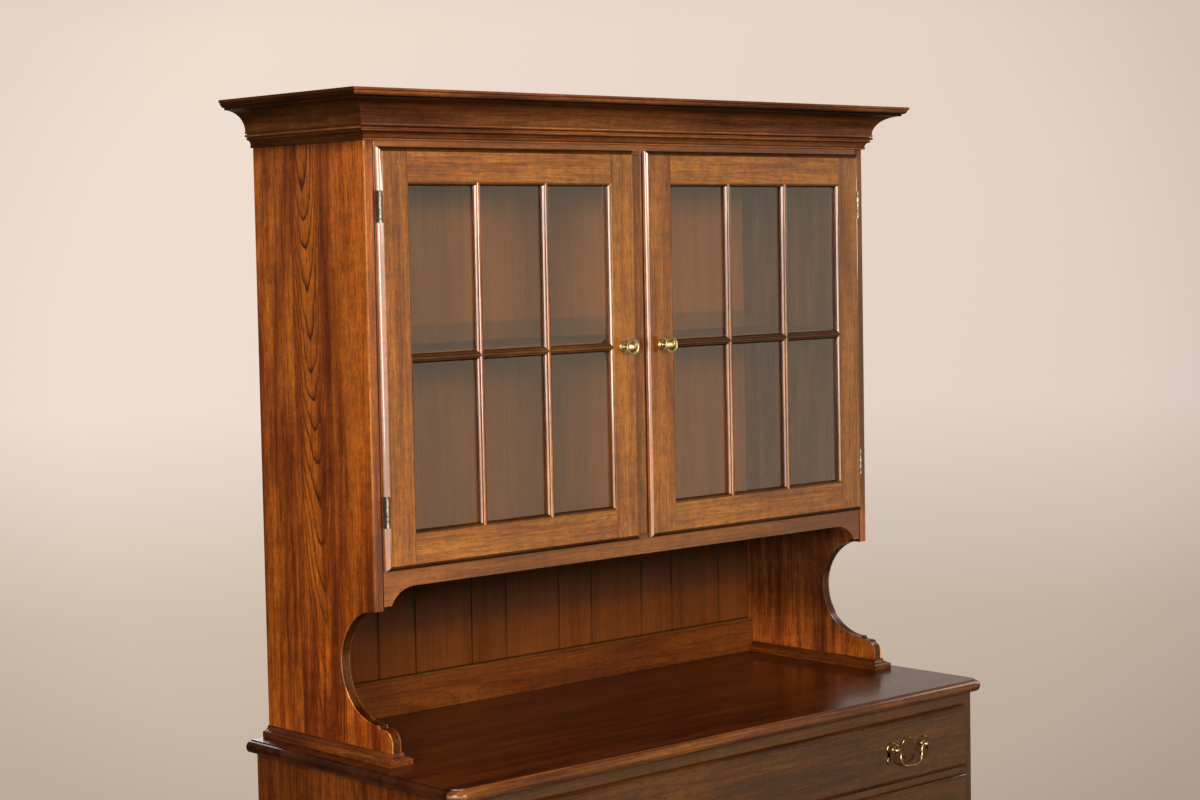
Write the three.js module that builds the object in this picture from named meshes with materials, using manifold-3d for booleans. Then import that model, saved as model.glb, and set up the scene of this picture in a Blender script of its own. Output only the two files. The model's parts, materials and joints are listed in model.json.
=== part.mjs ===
// Step back cupboard: a glazed hutch on a deeper chest of drawers.
// Millimetres, +Z up, the front faces -Y, and the floor is at Z = 0.

import * as THREE from 'three';
import { mergeVertices } from 'three/addons/utils/BufferGeometryUtils.js';
import Module from 'manifold-3d';

const wasm = await Module();
wasm.setup();

// Hutch, the upper case
const hutchWidth = 1220;
const hutchDepth = 320;
const boardThick = 19;
const nicheHeight = 252;
const backThick = 6.5;
const backRabbet = 0.5;
const topRecess = 4;
const shelfDrop = 353;
const shelfSetback = 34;

// Face frame of the hutch, with the scrolled apron below the doors
const frameThick = 20;
const lipReveal = 10;
const apronReveal = 29;
const apronDrop = 36;
const apronShoulder = 15.5;
const apronShoulderRise = 6.3;
const apronArcRadius = 54;

// Scrolled side: the round cut over the base and the foot in front of it
const footHeight = 62;
const footReach = 37;
const footStep = 3;
const footNotch = 5.5;
const footRound = 22;
const cutSetback = 5;

// Moulding round the feet of the hutch
const footMouldHeight = 20;
const footMouldReach = 14;
const footMouldFace = 8;
const footMouldOvolo = 3.4;
const footMouldFillet = 1.2;
const footMouldLedge = 3.2;
const footMouldCap = 2.4;

// Boards of the back in the open niche, wide and narrow by turns
const boardCount = 11;
const wideBoardShare = 1.58;
const grooveWidth = 5;
const grooveDepth = 2.4;

// Rail along the foot of the back
const nicheRailHeight = 67;
const nicheRailThick = 14;
const nicheRailMould = 6;
const nicheRailFillet = 0.8;

// Crown moulding, from its lower edge up
const crownHeight = 81;
const crownReach = 68;
const crownToeRise = 4.2;
const crownToeReach = 6.2;
const crownNeckFoot = 5;
const crownNeckRise = 13.5;
const crownNeckReach = 12;
const crownBandRise = 17;
const crownBandReach = 13.2;
const crownBeadQuirk = 1.2;
const crownBeadRadius = 2.4;
const crownBeadReach = 14.6;
const crownLineReach = 16.4;
const crownCoveRise = 27.6;
const crownCoveReach = 15.2;
const crownShoulderRise = 64;
const crownShoulderReach = 57;
const crownQuirkRise = 67.5;
const crownFillet = 4.6;
const crownOvoloReach = 66;

// Glazed doors with a lip that laps the face frame
const doorHeight = 704;
const doorReveal = 20;
const centreReveal = 28;
const doorMember = 59;
const lipThick = 11;
const lipGap = 0.8;
const lipOverlap = 10;
const lipEdge = 2.4;
const lipMould = 8.6;
const lipFillet = 1.3;
const bodyThick = 10;
const bodyPlay = 1.8;
const stickingWidth = 6;
const stickingFillet = 1.2;
const stickingQuirk = 0.8;
const stickingDrop = 7.6;
const glassSeat = 10;
const glassRabbet = 8;
const glassThick = 3;

// Moulded bars of the doors
const muntinWidth = 16;
const muntinBead = 5.4;
const muntinBeadRound = 1.1;
const muntinQuirk = 2.1;
const muntinFlat = 0.6;
const muntinRecess = 0.5;
const muntinToe = 1.8;
const lightColumns = 3;
const lightRows = 2;

// Door knob, turned
const knobInset = 34;
const knobLength = 27.5;
const knobRadius = 15;
const knobRim = 2.2;
const roseRadius = 10;
const roseThick = 4.4;
const knobNeck = 3.8;
const knobThick = 5.4;

// Butt hinges with a pin at the edge of the lip
const hingeLength = 52;
const hingeInset = 99;
const hingeKnuckles = 5;
const hingePinInset = 3.6;
const hingePinProud = 10;
const hingeBarrel = 3;
const hingePin = 1.3;
const hingeLeaf = 1.5;
const hingeLeafDepth = 8;
const hingeWeb = 1.2;
const hingePlay = 0.35;

// Base, the chest of drawers
const baseHeight = 813;
const baseStepOut = 27;
const stepDepth = 241;
const topThick = 21.5;
const topOverhang = 22.5;
const topCorner = 30;
const topInset = 11;
const topFillet = 2;
const topNoseRise = 9;
const topNoseTuck = 6;
const baseBackThick = 9;
const baseBackInset = 4;
const baseStrip = 21;
const baseTopReveal = 24.5;
const drawerReveal = 15;
const bottomReveal = 29;
const drawerHeightShares = [0.222, 0.346, 0.432];

// Bracket feet below the base
const bracketHeight = 165;
const bracketThick = 20;
const bracketProud = 10;
const bracketMould = 11;
const bracketFoot = 140;
const bracketSideFoot = 120;
const bracketRail = 66;
const bracketSpur = 30;
const bracketScrollRadius = 42;
const bracketNotch = 7;

// Drawers, their runners and their guides
const drawerBackRoom = 38;
const drawerPlay = 3;
const drawerHeadroom = 14;
const drawerWall = 12;
const drawerFloor = 6;
const drawerFloorRise = 10;
const runnerThick = 18;
const runnerMember = 62;
const guideHeight = 14;
const runningPlay = 0.5;
const guidePlay = 1;

// Drawer pulls: a shaped plate, two posts and a swinging bail
const pullInset = 201.5;
const pullRise = 7;
const postSpan = 83;
const plateThick = 2;
const plateHalfWidth = 60;
const plateRise = 20;
const plateDrop = 28;
const postFlange = 6.4;
const postFlangeThick = 1.6;
const postStem = 3;
const postBall = 5;
const postReach = 10;
const bailRod = 2.1;
const bailDrop = 35.5;
const bailHalfWidth = 31.5;
const bailPinDepth = 2.6;
const bailPlay = 0.35;

// Clearances shared by all the pieces
const seat = 0.3;
const mitreGap = 0.4;
const overrun = 40;

// Counts of the flats along the round stretches
const arcSteps = 6;
const fineSteps = 4;
const scrollSteps = 22;
const turnedSteps = 18;
const postSteps = 10;
const barrelSteps = 12;
const bailSteps = 22;
const bailSides = 8;

// Places along the height
const baseTopZ = baseHeight;
const footZ = baseTopZ + seat;
const stileEndZ = baseTopZ + nicheHeight;
const lipBottomZ = stileEndZ + apronDrop + apronReveal;
const lipTopZ = lipBottomZ + doorHeight;
const crownZ = lipTopZ + lipReveal;
const sideTopZ = crownZ + crownHeight - topRecess;
const lipStep = lipOverlap - bodyPlay;
const openingBottomZ = lipBottomZ + lipStep;
const openingTopZ = lipTopZ - lipStep;

// Places across the width and the depth
const hutchHalf = hutchWidth / 2;
const sideInner = hutchHalf - boardThick;
const doorOuter = hutchHalf - doorReveal;
const doorInner = centreReveal / 2;
const doorHalf = (doorOuter - doorInner) / 2;
const doorCentre = (doorOuter + doorInner) / 2;
const doorMidZ = (lipTopZ + lipBottomZ) / 2;
const stileInner = doorOuter - lipStep;
const backY = hutchDepth - backThick - backRabbet;
const lipBackY = -lipGap;
const lipFaceY = lipBackY - lipThick;
const bodyBackY = lipBackY + bodyThick;
const glassSeatY = lipFaceY + glassSeat;
const baseHalf = hutchHalf + baseStepOut;
const baseInner = baseHalf - boardThick;
const baseFrontY = -stepDepth;
const baseTopUnder = baseTopZ - topThick - seat;

const woodColours = { front: 0x6e3d1f, side: 0x8a4c22, top: 0x4a2514, inside: 0x5a3420, plain: 0xa8835a };
const materials = {
  front: new THREE.MeshStandardMaterial({ color: woodColours.front, roughness: 0.38, metalness: 0 }),
  side: new THREE.MeshStandardMaterial({ color: woodColours.side, roughness: 0.36, metalness: 0 }),
  top: new THREE.MeshStandardMaterial({ color: woodColours.top, roughness: 0.25, metalness: 0 }),
  inside: new THREE.MeshStandardMaterial({ color: woodColours.inside, roughness: 0.5, metalness: 0 }),
  plain: new THREE.MeshStandardMaterial({ color: woodColours.plain, roughness: 0.65, metalness: 0 }),
  brass: new THREE.MeshStandardMaterial({ color: 0xa8874a, roughness: 0.3, metalness: 1 }),
  hinge: new THREE.MeshStandardMaterial({ color: 0x8c8476, roughness: 0.4, metalness: 1 }),
  glass: new THREE.MeshStandardMaterial({
    color: 0xc9d4d2, roughness: 0.05, metalness: 0, transparent: true, opacity: 0.35,
  }),
};

const cupboard = new THREE.Group();

function piece(name, geometry, material) {
  geometry.computeVertexNormals();
  const mesh = new THREE.Mesh(geometry, material);
  mesh.name = name;
  cupboard.add(mesh);
}

// Solids for joining and cutting

function solid(geometry) {
  const bare = geometry.clone();
  bare.deleteAttribute('normal');
  bare.deleteAttribute('uv');
  const merged = mergeVertices(bare);
  return new wasm.Manifold(new wasm.Mesh({
    numProp: 3,
    vertProperties: merged.attributes.position.array,
    triVerts: Uint32Array.from(merged.index.array),
  }));
}

function skin(manifold) {
  const { vertProperties, triVerts } = manifold.getMesh();
  const geometry = new THREE.BufferGeometry();
  geometry.setAttribute('position', new THREE.BufferAttribute(vertProperties, 3));
  geometry.setIndex(new THREE.BufferAttribute(triVerts, 1));
  return geometry;
}

function join(geometries) {
  return skin(geometries.map(solid).reduce((whole, next) => whole.add(next)));
}

function cut(geometry, cutters) {
  return skin(cutters.map(solid).reduce((whole, next) => whole.subtract(next), solid(geometry)));
}

// Boxes and prisms by their lowest and highest places

function block([x0, x1], [y0, y1], [z0, z1]) {
  const geometry = new THREE.BoxGeometry(x1 - x0, y1 - y0, z1 - z0);
  return geometry.translate((x0 + x1) / 2, (y0 + y1) / 2, (z0 + z1) / 2);
}

const basis = {
  x: [new THREE.Vector3(0, 1, 0), new THREE.Vector3(0, 0, 1), new THREE.Vector3(1, 0, 0)],
  y: [new THREE.Vector3(1, 0, 0), new THREE.Vector3(0, 0, 1), new THREE.Vector3(0, -1, 0)],
  z: [new THREE.Vector3(1, 0, 0), new THREE.Vector3(0, 1, 0), new THREE.Vector3(0, 0, 1)],
};

function prism(axis, shape, [low, high], steps = arcSteps) {
  const options = { depth: high - low, bevelEnabled: false, curveSegments: steps };
  const geometry = new THREE.ExtrudeGeometry(shape, options);
  geometry.applyMatrix4(new THREE.Matrix4().makeBasis(...basis[axis]));
  const start = new THREE.Vector3().setComponent('xyz'.indexOf(axis), axis === 'y' ? high : low);
  return geometry.translate(...start);
}

function rectangle([u0, u1], [v0, v1], Kind = THREE.Shape) {
  const corners = [[u0, v0], [u1, v0], [u1, v1], [u0, v1]];
  return new Kind(corners.map(([u, v]) => new THREE.Vector2(u, v)));
}

// A skin over rings of points, capped at both ends or closed into a loop

function capFaces(ring) {
  const normal = new THREE.Vector3();
  ring.forEach((point, i) => {
    const next = ring[(i + 1) % ring.length];
    normal.add(new THREE.Vector3().crossVectors(point, next));
  });
  normal.normalize();
  const helper = Math.abs(normal.z) < Math.SQRT1_2 ? basis.z[2] : basis.z[0];
  const across = new THREE.Vector3().crossVectors(helper, normal).normalize();
  const along = new THREE.Vector3().crossVectors(normal, across);
  const flat = ring.map((point) => new THREE.Vector2(point.dot(across), point.dot(along)));
  return THREE.ShapeUtils.triangulateShape(flat, []);
}

function signedVolume(points, index) {
  let sum = 0;
  for (let i = 0; i < index.length; i += 3) {
    const [a, b, c] = index.slice(i, i + 3).map((at) => points[at]);
    sum += a.dot(new THREE.Vector3().crossVectors(b, c));
  }
  return sum;
}

function loft(rings, closed = false) {
  const count = rings[0].length;
  const spans = closed ? rings.length : rings.length - 1;
  const index = [];
  for (let i = 0; i < spans; i += 1) {
    const here = i * count;
    const next = ((i + 1) % rings.length) * count;
    for (let j = 0; j < count; j += 1) {
      const k = (j + 1) % count;
      index.push(here + j, here + k, next + k, here + j, next + k, next + j);
    }
  }
  if (!closed) {
    const last = (rings.length - 1) * count;
    capFaces(rings[0]).forEach(([a, b, c]) => index.push(a, c, b));
    capFaces(rings.at(-1)).forEach(([a, b, c]) => index.push(last + a, last + b, last + c));
  }
  const points = rings.flat();
  if (signedVolume(points, index) < 0) index.reverse();
  const geometry = new THREE.BufferGeometry().setFromPoints(points);
  geometry.setIndex(index);
  return geometry;
}

// Points of a profile, with each round stretch as a quarter of an ellipse

function quarter(centreU, centreV, radiusU, radiusV, from, steps = fineSteps) {
  const turn = Math.PI / 2;
  return Array.from({ length: steps + 1 }, (_, i) => {
    const angle = from + (turn * i) / steps;
    return [centreU + radiusU * Math.cos(angle), centreV + radiusV * Math.sin(angle)];
  });
}

function halfRound(centreU, centreV, radius) {
  const half = (from) => quarter(centreU, centreV, radius, radius, from, 2);
  return [...half(down), ...half(right).slice(1)];
}

function profile(points) {
  return points.map(([u, v]) => new THREE.Vector2(u, v));
}

const right = 0;
const up = Math.PI / 2;
const left = Math.PI;
const down = -Math.PI / 2;

// A panel or frame whose moulded edge runs round four mitred sides

function rectangleRing(centreX, centreZ, halfX, halfZ, inset, y) {
  const corners = [[-1, -1], [1, -1], [1, 1], [-1, 1]];
  return corners.map(([sx, sz]) => new THREE.Vector3(
    centreX + sx * (halfX - inset),
    y,
    centreZ + sz * (halfZ - inset),
  ));
}

function mitredLoop(section, centreX, centreZ, halfX, halfZ) {
  const corners = [[-1, -1], [1, -1], [1, 1], [-1, 1]];
  return loft(corners.map(([sx, sz]) => section.map(({ x: inset, y }) => new THREE.Vector3(
    centreX + sx * (halfX - inset),
    y,
    centreZ + sz * (halfZ - inset),
  ))), true);
}

function mitredPanel(section, centreX, centreZ, halfX, halfZ) {
  return loft(section.map(({ x: inset, y }) => rectangleRing(centreX, centreZ, halfX, halfZ, inset, y)));
}

// The lip's moulded edge: a flat edge, an ovolo and a fillet up to the face

function lipSection(backY) {
  const faceY = backY - lipThick;
  const ovoloRise = lipThick - lipEdge - lipFillet;
  return [
    [0, backY],
    ...quarter(lipMould, backY - lipEdge, lipMould, ovoloRise, left),
    [lipMould, faceY],
  ];
}

// Hutch sides, boards and back

function hutchSideOutline() {
  const cutRadius = (nicheHeight - footHeight) / 2;
  const cutBottomZ = baseTopZ + footHeight;
  const outline = new THREE.Shape();
  outline.moveTo(hutchDepth, footZ);
  outline.lineTo(hutchDepth, sideTopZ);
  outline.lineTo(0, sideTopZ);
  outline.lineTo(0, stileEndZ);
  outline.absarc(cutSetback, stileEndZ - cutRadius, cutRadius, up, down, true);
  outline.lineTo(0, cutBottomZ);
  outline.lineTo(-footStep, cutBottomZ - footNotch);
  outline.lineTo(footRound - footReach, cutBottomZ - footNotch);
  outline.absarc(footRound - footReach, cutBottomZ - footNotch - footRound, footRound, up, left);
  outline.lineTo(-footReach, footZ);
  return outline;
}

function hutchCase() {
  const outline = hutchSideOutline();
  piece('hutch_side_left', prism('x', outline, [-hutchHalf, -sideInner], scrollSteps), materials.side);
  piece('hutch_side_right', prism('x', outline, [sideInner, hutchHalf], scrollSteps), materials.side);
  const spanX = [seat - sideInner, sideInner - seat];
  const spanY = [frameThick + seat, backY - seat];
  piece('hutch_top', block(spanX, spanY, [sideTopZ - boardThick, sideTopZ]), materials.inside);
  piece('hutch_floor', block(spanX, spanY, [openingBottomZ - boardThick, openingBottomZ]), materials.inside);
  const shelfZ = crownZ - shelfDrop;
  const shelfY = [shelfSetback, backY - seat];
  piece('hutch_shelf', block(spanX, shelfY, [shelfZ - boardThick, shelfZ]), materials.inside);
}

function hutchBack() {
  const panel = block([seat - sideInner, sideInner - seat], [backY, backY + backThick], [footZ, sideTopZ]);
  const narrowCount = Math.ceil(boardCount / 2);
  const wideCount = boardCount - narrowCount;
  const narrow = (2 * sideInner) / (narrowCount + wideCount * wideBoardShare);
  const wide = narrow * wideBoardShare;
  const grooveTopZ = openingBottomZ - boardThick - seat;
  const grooves = [];
  let x = -sideInner;
  for (let i = 1; i < boardCount; i += 1) {
    x += i % 2 ? narrow : wide;
    const groove = new THREE.Shape(profile([
      [x - grooveWidth / 2, backY - seat],
      [x, backY + grooveDepth],
      [x + grooveWidth / 2, backY - seat],
    ]));
    grooves.push(prism('z', groove, [footZ - overrun, grooveTopZ]));
  }
  piece('hutch_back', cut(panel, grooves), materials.front);
}

function nicheRail() {
  const frontY = backY - seat - nicheRailThick;
  const topZ = footZ + nicheRailHeight;
  const mouldRise = nicheRailMould - nicheRailFillet;
  const outline = new THREE.Shape(profile([
    [backY - seat, footZ],
    [backY - seat, topZ],
    [frontY + nicheRailMould, topZ],
    ...quarter(frontY + nicheRailMould, topZ - nicheRailMould, nicheRailMould, mouldRise, up),
    [frontY, footZ],
  ]));
  piece('niche_rail', prism('x', outline, [seat - sideInner, sideInner - seat]), materials.front);
}

// Moulding that wraps each foot: outside, front and inside

function footMouldings() {
  const ovoloReach = footMouldReach - footMouldOvolo;
  const coveReach = ovoloReach - footMouldFillet;
  const coveZ = footMouldHeight - footMouldCap;
  const coveFootZ = footMouldFace + footMouldOvolo + footMouldFillet;
  const section = profile([
    [seat, 0],
    [footMouldReach, 0],
    ...quarter(ovoloReach, footMouldFace, footMouldOvolo, footMouldOvolo, right),
    [coveReach, footMouldFace + footMouldOvolo],
    ...quarter(coveReach, coveZ, coveReach - footMouldLedge, coveZ - coveFootZ, left).reverse(),
    [footMouldLedge, footMouldHeight],
    [seat, footMouldHeight],
  ]);
  const endY = backY - seat - nicheRailThick - seat;
  [['left', -1], ['right', 1]].forEach(([hand, sign]) => {
    const path = [
      ({ x: out }) => [sign * (hutchHalf + out), hutchDepth],
      ({ x: out }) => [sign * (hutchHalf + out), -footReach - out],
      ({ x: out }) => [sign * (sideInner - out), -footReach - out],
      ({ x: out }) => [sign * (sideInner - out), endY],
    ];
    const ring = (place) => section.map((point) => new THREE.Vector3(...place(point), footZ + point.y));
    piece(`foot_moulding_${hand}`, loft(path.map(ring)), materials.side);
  });
}

// Face frame of the hutch

function apronScroll(sign) {
  const arcDrop = apronDrop - apronShoulderRise;
  const arcSpan = Math.sqrt(apronArcRadius ** 2 - (apronArcRadius - arcDrop) ** 2);
  const arcX = sideInner - apronShoulder - arcSpan;
  const railZ = stileEndZ + apronDrop;
  const start = Math.acos((apronArcRadius - arcDrop) / apronArcRadius);
  return Array.from({ length: arcSteps + 1 }, (_, i) => {
    const angle = (start * i) / arcSteps;
    const x = arcX + apronArcRadius * Math.sin(angle);
    return [sign * x, railZ - apronArcRadius * (1 - Math.cos(angle))];
  });
}

function faceFrame() {
  const stileZ = [openingBottomZ + seat, openingTopZ - seat];
  const outer = sideInner - seat;
  const hingeCuts = hingeRecesses();
  [['left', -1], ['right', 1]].forEach(([hand, sign]) => {
    const spanX = [sign * outer, sign * stileInner].sort((a, b) => a - b);
    piece(`face_stile_${hand}`, cut(block(spanX, [0, frameThick], stileZ), hingeCuts), materials.front);
  });
  const centre = doorInner + lipStep;
  piece('face_stile_centre', block([-centre, centre], [0, frameThick], stileZ), materials.front);
  piece('face_rail_top', block([-outer, outer], [0, frameThick], [openingTopZ, sideTopZ]), materials.front);
  const shoulderZ = stileEndZ + apronShoulderRise;
  const apron = new THREE.Shape(profile([
    [-outer, openingBottomZ],
    [-outer, shoulderZ],
    ...apronScroll(-1).reverse(),
    ...apronScroll(1),
    [outer, shoulderZ],
    [outer, openingBottomZ],
  ]));
  piece('face_apron', prism('y', apron, [0, frameThick]), materials.front);
}

// Crown moulding with mitred returns

function crownSection() {
  const toeRadius = crownToeRise / 2;
  const beadRise = crownBandRise + crownBeadQuirk + crownBeadRadius;
  const lineRise = beadRise + crownBeadRadius + crownBeadQuirk;
  const quirkReach = crownBandReach - crownBeadQuirk;
  return profile([
    [seat, 0],
    ...halfRound(crownToeReach - toeRadius, toeRadius, toeRadius),
    [crownNeckFoot, crownToeRise],
    ...quarter(
      crownNeckReach,
      crownToeRise,
      crownNeckReach - crownNeckFoot,
      crownNeckRise - crownToeRise,
      up,
    ).reverse().slice(1),
    [crownBandReach, crownNeckRise],
    [crownBandReach, crownBandRise],
    [quirkReach, crownBandRise],
    [quirkReach, beadRise - crownBeadRadius],
    ...halfRound(crownBeadReach, beadRise, crownBeadRadius),
    [quirkReach, beadRise + crownBeadRadius],
    [quirkReach, lineRise],
    [crownLineReach, lineRise],
    [crownLineReach, crownCoveRise],
    ...quarter(
      crownShoulderReach,
      crownCoveRise,
      crownShoulderReach - crownCoveReach,
      crownShoulderRise - crownCoveRise,
      up,
      2 * fineSteps,
    ).reverse(),
    [crownShoulderReach, crownQuirkRise],
    ...quarter(
      crownShoulderReach,
      crownHeight - crownFillet,
      crownOvoloReach - crownShoulderReach,
      crownHeight - crownFillet - crownQuirkRise,
      down,
    ).slice(1),
    [crownReach, crownHeight - crownFillet],
    [crownReach, crownHeight],
    [seat, crownHeight],
  ]);
}

function crown() {
  const section = crownSection();
  const ring = (place) => section.map((point) => new THREE.Vector3(...place(point.x), crownZ + point.y));
  const front = [-1, 1].map((sign) => ring((out) => [sign * (hutchHalf + out - mitreGap), -out]));
  piece('crown_front', loft(front), materials.front);
  [['left', -1], ['right', 1]].forEach(([hand, sign]) => {
    const side = [
      ring((out) => [sign * (hutchHalf + out), -out]),
      ring((out) => [sign * (hutchHalf + out), hutchDepth]),
    ];
    piece(`crown_${hand}`, loft(side), materials.front);
  });
}

// Hinges: the section of each leaf, seen from above, for the left door with +X towards the door

function hingePlace(sign, up) {
  const pinX = doorOuter - hingePinInset;
  const centreZ = up > 0 ? lipTopZ - hingeInset : lipBottomZ + hingeInset;
  return { pinX: sign * pinX, pinY: -hingePinProud, centreZ, toDoor: -sign };
}

const hingePlaces = [
  ['left_upper', -1, 1], ['left_lower', -1, -1], ['right_upper', 1, 1], ['right_lower', 1, -1],
].map(([name, sign, up]) => ({ name, sign, ...hingePlace(sign, up) }));

function hingeBox({ pinX, toDoor, centreZ }, [u0, u1], [y0, y1], halfLength) {
  const spanX = [pinX + toDoor * u0, pinX + toDoor * u1].sort((a, b) => a - b);
  return block(spanX, [y0, y1], [centreZ - halfLength, centreZ + halfLength]);
}

function barrel({ pinX, pinY }, radius, [z0, z1]) {
  const geometry = new THREE.CylinderGeometry(radius, radius, z1 - z0, barrelSteps);
  return geometry.rotateX(Math.PI / 2).translate(pinX, pinY, (z0 + z1) / 2);
}

// Distances from the pin towards the door, along X
const lipEdgeU = -hingePinInset;
const notchU = lipEdgeU + lipMould;
const stileEdgeU = lipEdgeU + lipStep;
const bodyEdgeU = lipEdgeU + lipOverlap;

function frameLeaf(place) {
  const half = hingeLength / 2;
  const knuckle = hingeLength / hingeKnuckles;
  const parts = [
    hingeBox(place, [-hingeWeb, hingeWeb], [place.pinY, hingeLeaf], half),
    hingeBox(place, [-hingeWeb, stileEdgeU - seat], [seat, hingeLeaf], half),
    hingeBox(place, [stileEdgeU - hingeLeaf, stileEdgeU - seat], [seat, hingeLeafDepth], half),
  ];
  const slots = [];
  for (let i = 0; i < hingeKnuckles; i += 1) {
    const spanZ = [place.centreZ - half + i * knuckle, place.centreZ - half + (i + 1) * knuckle];
    if (i % 2 === 0) {
      parts.push(barrel(place, hingeBarrel, spanZ));
    } else {
      const slotZ = [spanZ[0] - hingePlay, spanZ[1] + hingePlay];
      const reach = hingeBarrel + hingePlay;
      const spanX = [place.pinX - reach, place.pinX + reach];
      slots.push(block(spanX, [place.pinY - reach, place.pinY + reach], slotZ));
    }
  }
  const leaf = cut(join(parts), slots);
  const pin = barrel(place, hingePin, [place.centreZ - half, place.centreZ + half]);
  piece(`hinge_${place.name}_frame_leaf`, join([leaf, pin]), materials.hinge);
}

function doorLeaf(place) {
  const half = hingeLength / 2;
  const knuckle = hingeLength / hingeKnuckles;
  const plateY = [lipBackY - hingeLeaf, lipBackY - seat];
  const webU = [hingeBarrel + hingePlay, hingeBarrel + hingePlay + hingeLeaf];
  const parts = [
    hingeBox(place, webU, [place.pinY, lipBackY - seat], half),
    hingeBox(place, [webU[0], bodyEdgeU + hingeLeaf], plateY, half),
    hingeBox(place, [bodyEdgeU + seat, bodyEdgeU + hingeLeaf], [plateY[0], hingeLeafDepth], half),
  ];
  for (let i = 1; i < hingeKnuckles; i += 2) {
    const low = place.centreZ - half + i * knuckle;
    const spanZ = [low + hingePlay, low + knuckle - hingePlay];
    const armX = [place.pinX, place.pinX + place.toDoor * webU[1]].sort((a, b) => a - b);
    const armY = [place.pinY, place.pinY + hingeLeaf];
    parts.push(barrel(place, hingeBarrel, spanZ), block(armX, armY, spanZ));
  }
  const boreZ = [place.centreZ - half - overrun, place.centreZ + half + overrun];
  const bore = barrel(place, hingePin + hingePlay, boreZ);
  piece(`hinge_${place.name}_door_leaf`, cut(join(parts), [bore]), materials.hinge);
}

function hingeRecesses() {
  const half = hingeLength / 2 + seat;
  const edgeU = [stileEdgeU - hingeLeaf - seat, stileEdgeU + overrun];
  return hingePlaces.flatMap((place) => [
    hingeBox(place, [-overrun, stileEdgeU + overrun], [-overrun, hingeLeaf + seat], half),
    hingeBox(place, edgeU, [-overrun, hingeLeafDepth + seat], half),
  ]);
}

function hingeNotches(sign) {
  const half = hingeLength / 2 + seat;
  const edgeU = [notchU - seat, bodyEdgeU + hingeLeaf + seat];
  return hingePlaces.filter((place) => place.sign === sign).flatMap((place) => [
    hingeBox(place, [-overrun, notchU], [-overrun, overrun], half),
    hingeBox(place, edgeU, [lipBackY - hingeLeaf - seat, overrun], half),
  ]);
}

// Glazed doors

function stickingSection() {
  const curveY = lipFaceY + stickingFillet;
  return [
    [doorMember, lipFaceY],
    [doorMember, curveY],
    ...quarter(
      doorMember + stickingQuirk,
      curveY + stickingDrop,
      stickingWidth - stickingQuirk,
      stickingDrop,
      down,
    ),
    [doorMember + stickingWidth, glassSeatY],
  ];
}

function doorSection() {
  const rabbet = doorMember + stickingWidth - glassRabbet;
  return profile([
    ...lipSection(lipBackY),
    ...stickingSection(),
    [rabbet, glassSeatY],
    [rabbet, bodyBackY],
    [lipOverlap, bodyBackY],
    [lipOverlap, lipBackY],
  ]);
}

function muntinSection() {
  const faceY = lipFaceY + muntinRecess;
  const curveY = faceY + muntinQuirk;
  const backFaceY = glassSeatY - seat;
  const halfBead = muntinBead / 2;
  const foot = curveY + (backFaceY - muntinToe - curveY);
  const half = [
    [0, faceY],
    [halfBead - muntinBeadRound, faceY],
    [halfBead, faceY + muntinBeadRound],
    [halfBead, curveY],
    ...quarter(halfBead + muntinFlat, foot, muntinWidth / 2 - halfBead - muntinFlat, foot - curveY, down),
    [muntinWidth / 2, backFaceY],
  ];
  const mirrored = half.slice(1).reverse().map(([u, y]) => [-u, y]);
  return profile([...mirrored, ...half]);
}

function muntinGrille(centreX) {
  const section = muntinSection();
  const sightHalfX = doorHalf - doorMember;
  const sightHalfZ = doorHeight / 2 - doorMember;
  const ends = [-1, 1];
  const bars = [];
  for (let i = 1; i < lightColumns; i += 1) {
    const x = centreX - sightHalfX + (2 * sightHalfX * i) / lightColumns;
    bars.push(loft(ends.map((end) => section.map(({ x: u, y }) => (
      new THREE.Vector3(x + u, y, doorMidZ + end * sightHalfZ)
    )))));
  }
  for (let i = 1; i < lightRows; i += 1) {
    const z = doorMidZ - sightHalfZ + (2 * sightHalfZ * i) / lightRows;
    bars.push(loft(ends.map((end) => section.map(({ x: u, y }) => (
      new THREE.Vector3(centreX + end * sightHalfX, y, z + u)
    )))));
  }
  const opening = stickingSection();
  const mouth = [[doorMember, lipFaceY - overrun], ...opening.slice(1)];
  const plug = mitredPanel(
    profile(mouth.map(([inset, y]) => [inset + seat, y])),
    centreX,
    doorMidZ,
    doorHalf,
    doorHeight / 2,
  );
  return skin(solid(join(bars)).intersect(solid(plug)));
}

function knob() {
  const face = knobLength;
  const back = face - knobThick;
  const dome = knobRadius - 2 * knobRim;
  return new THREE.LatheGeometry(profile([
    [0, seat],
    [roseRadius, seat],
    [roseRadius, seat + roseThick / 2],
    [roseRadius - knobRim, roseThick],
    [knobNeck + knobRim, roseThick],
    [knobNeck, roseThick + knobRim],
    [knobNeck, back - knobRim],
    [knobNeck + knobRim, back],
    [knobRadius - knobRim, back + knobRim / 2],
    [knobRadius, back + knobRim],
    [knobRadius, face - knobRim / 2],
    [knobRadius - knobRim / 2, face],
    [knobRadius - knobRim, face - knobRim / 2],
    [dome, face - knobRim],
    [dome * Math.SQRT1_2, face - knobRim / 2],
    [0, face],
  ]), turnedSteps);
}

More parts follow.
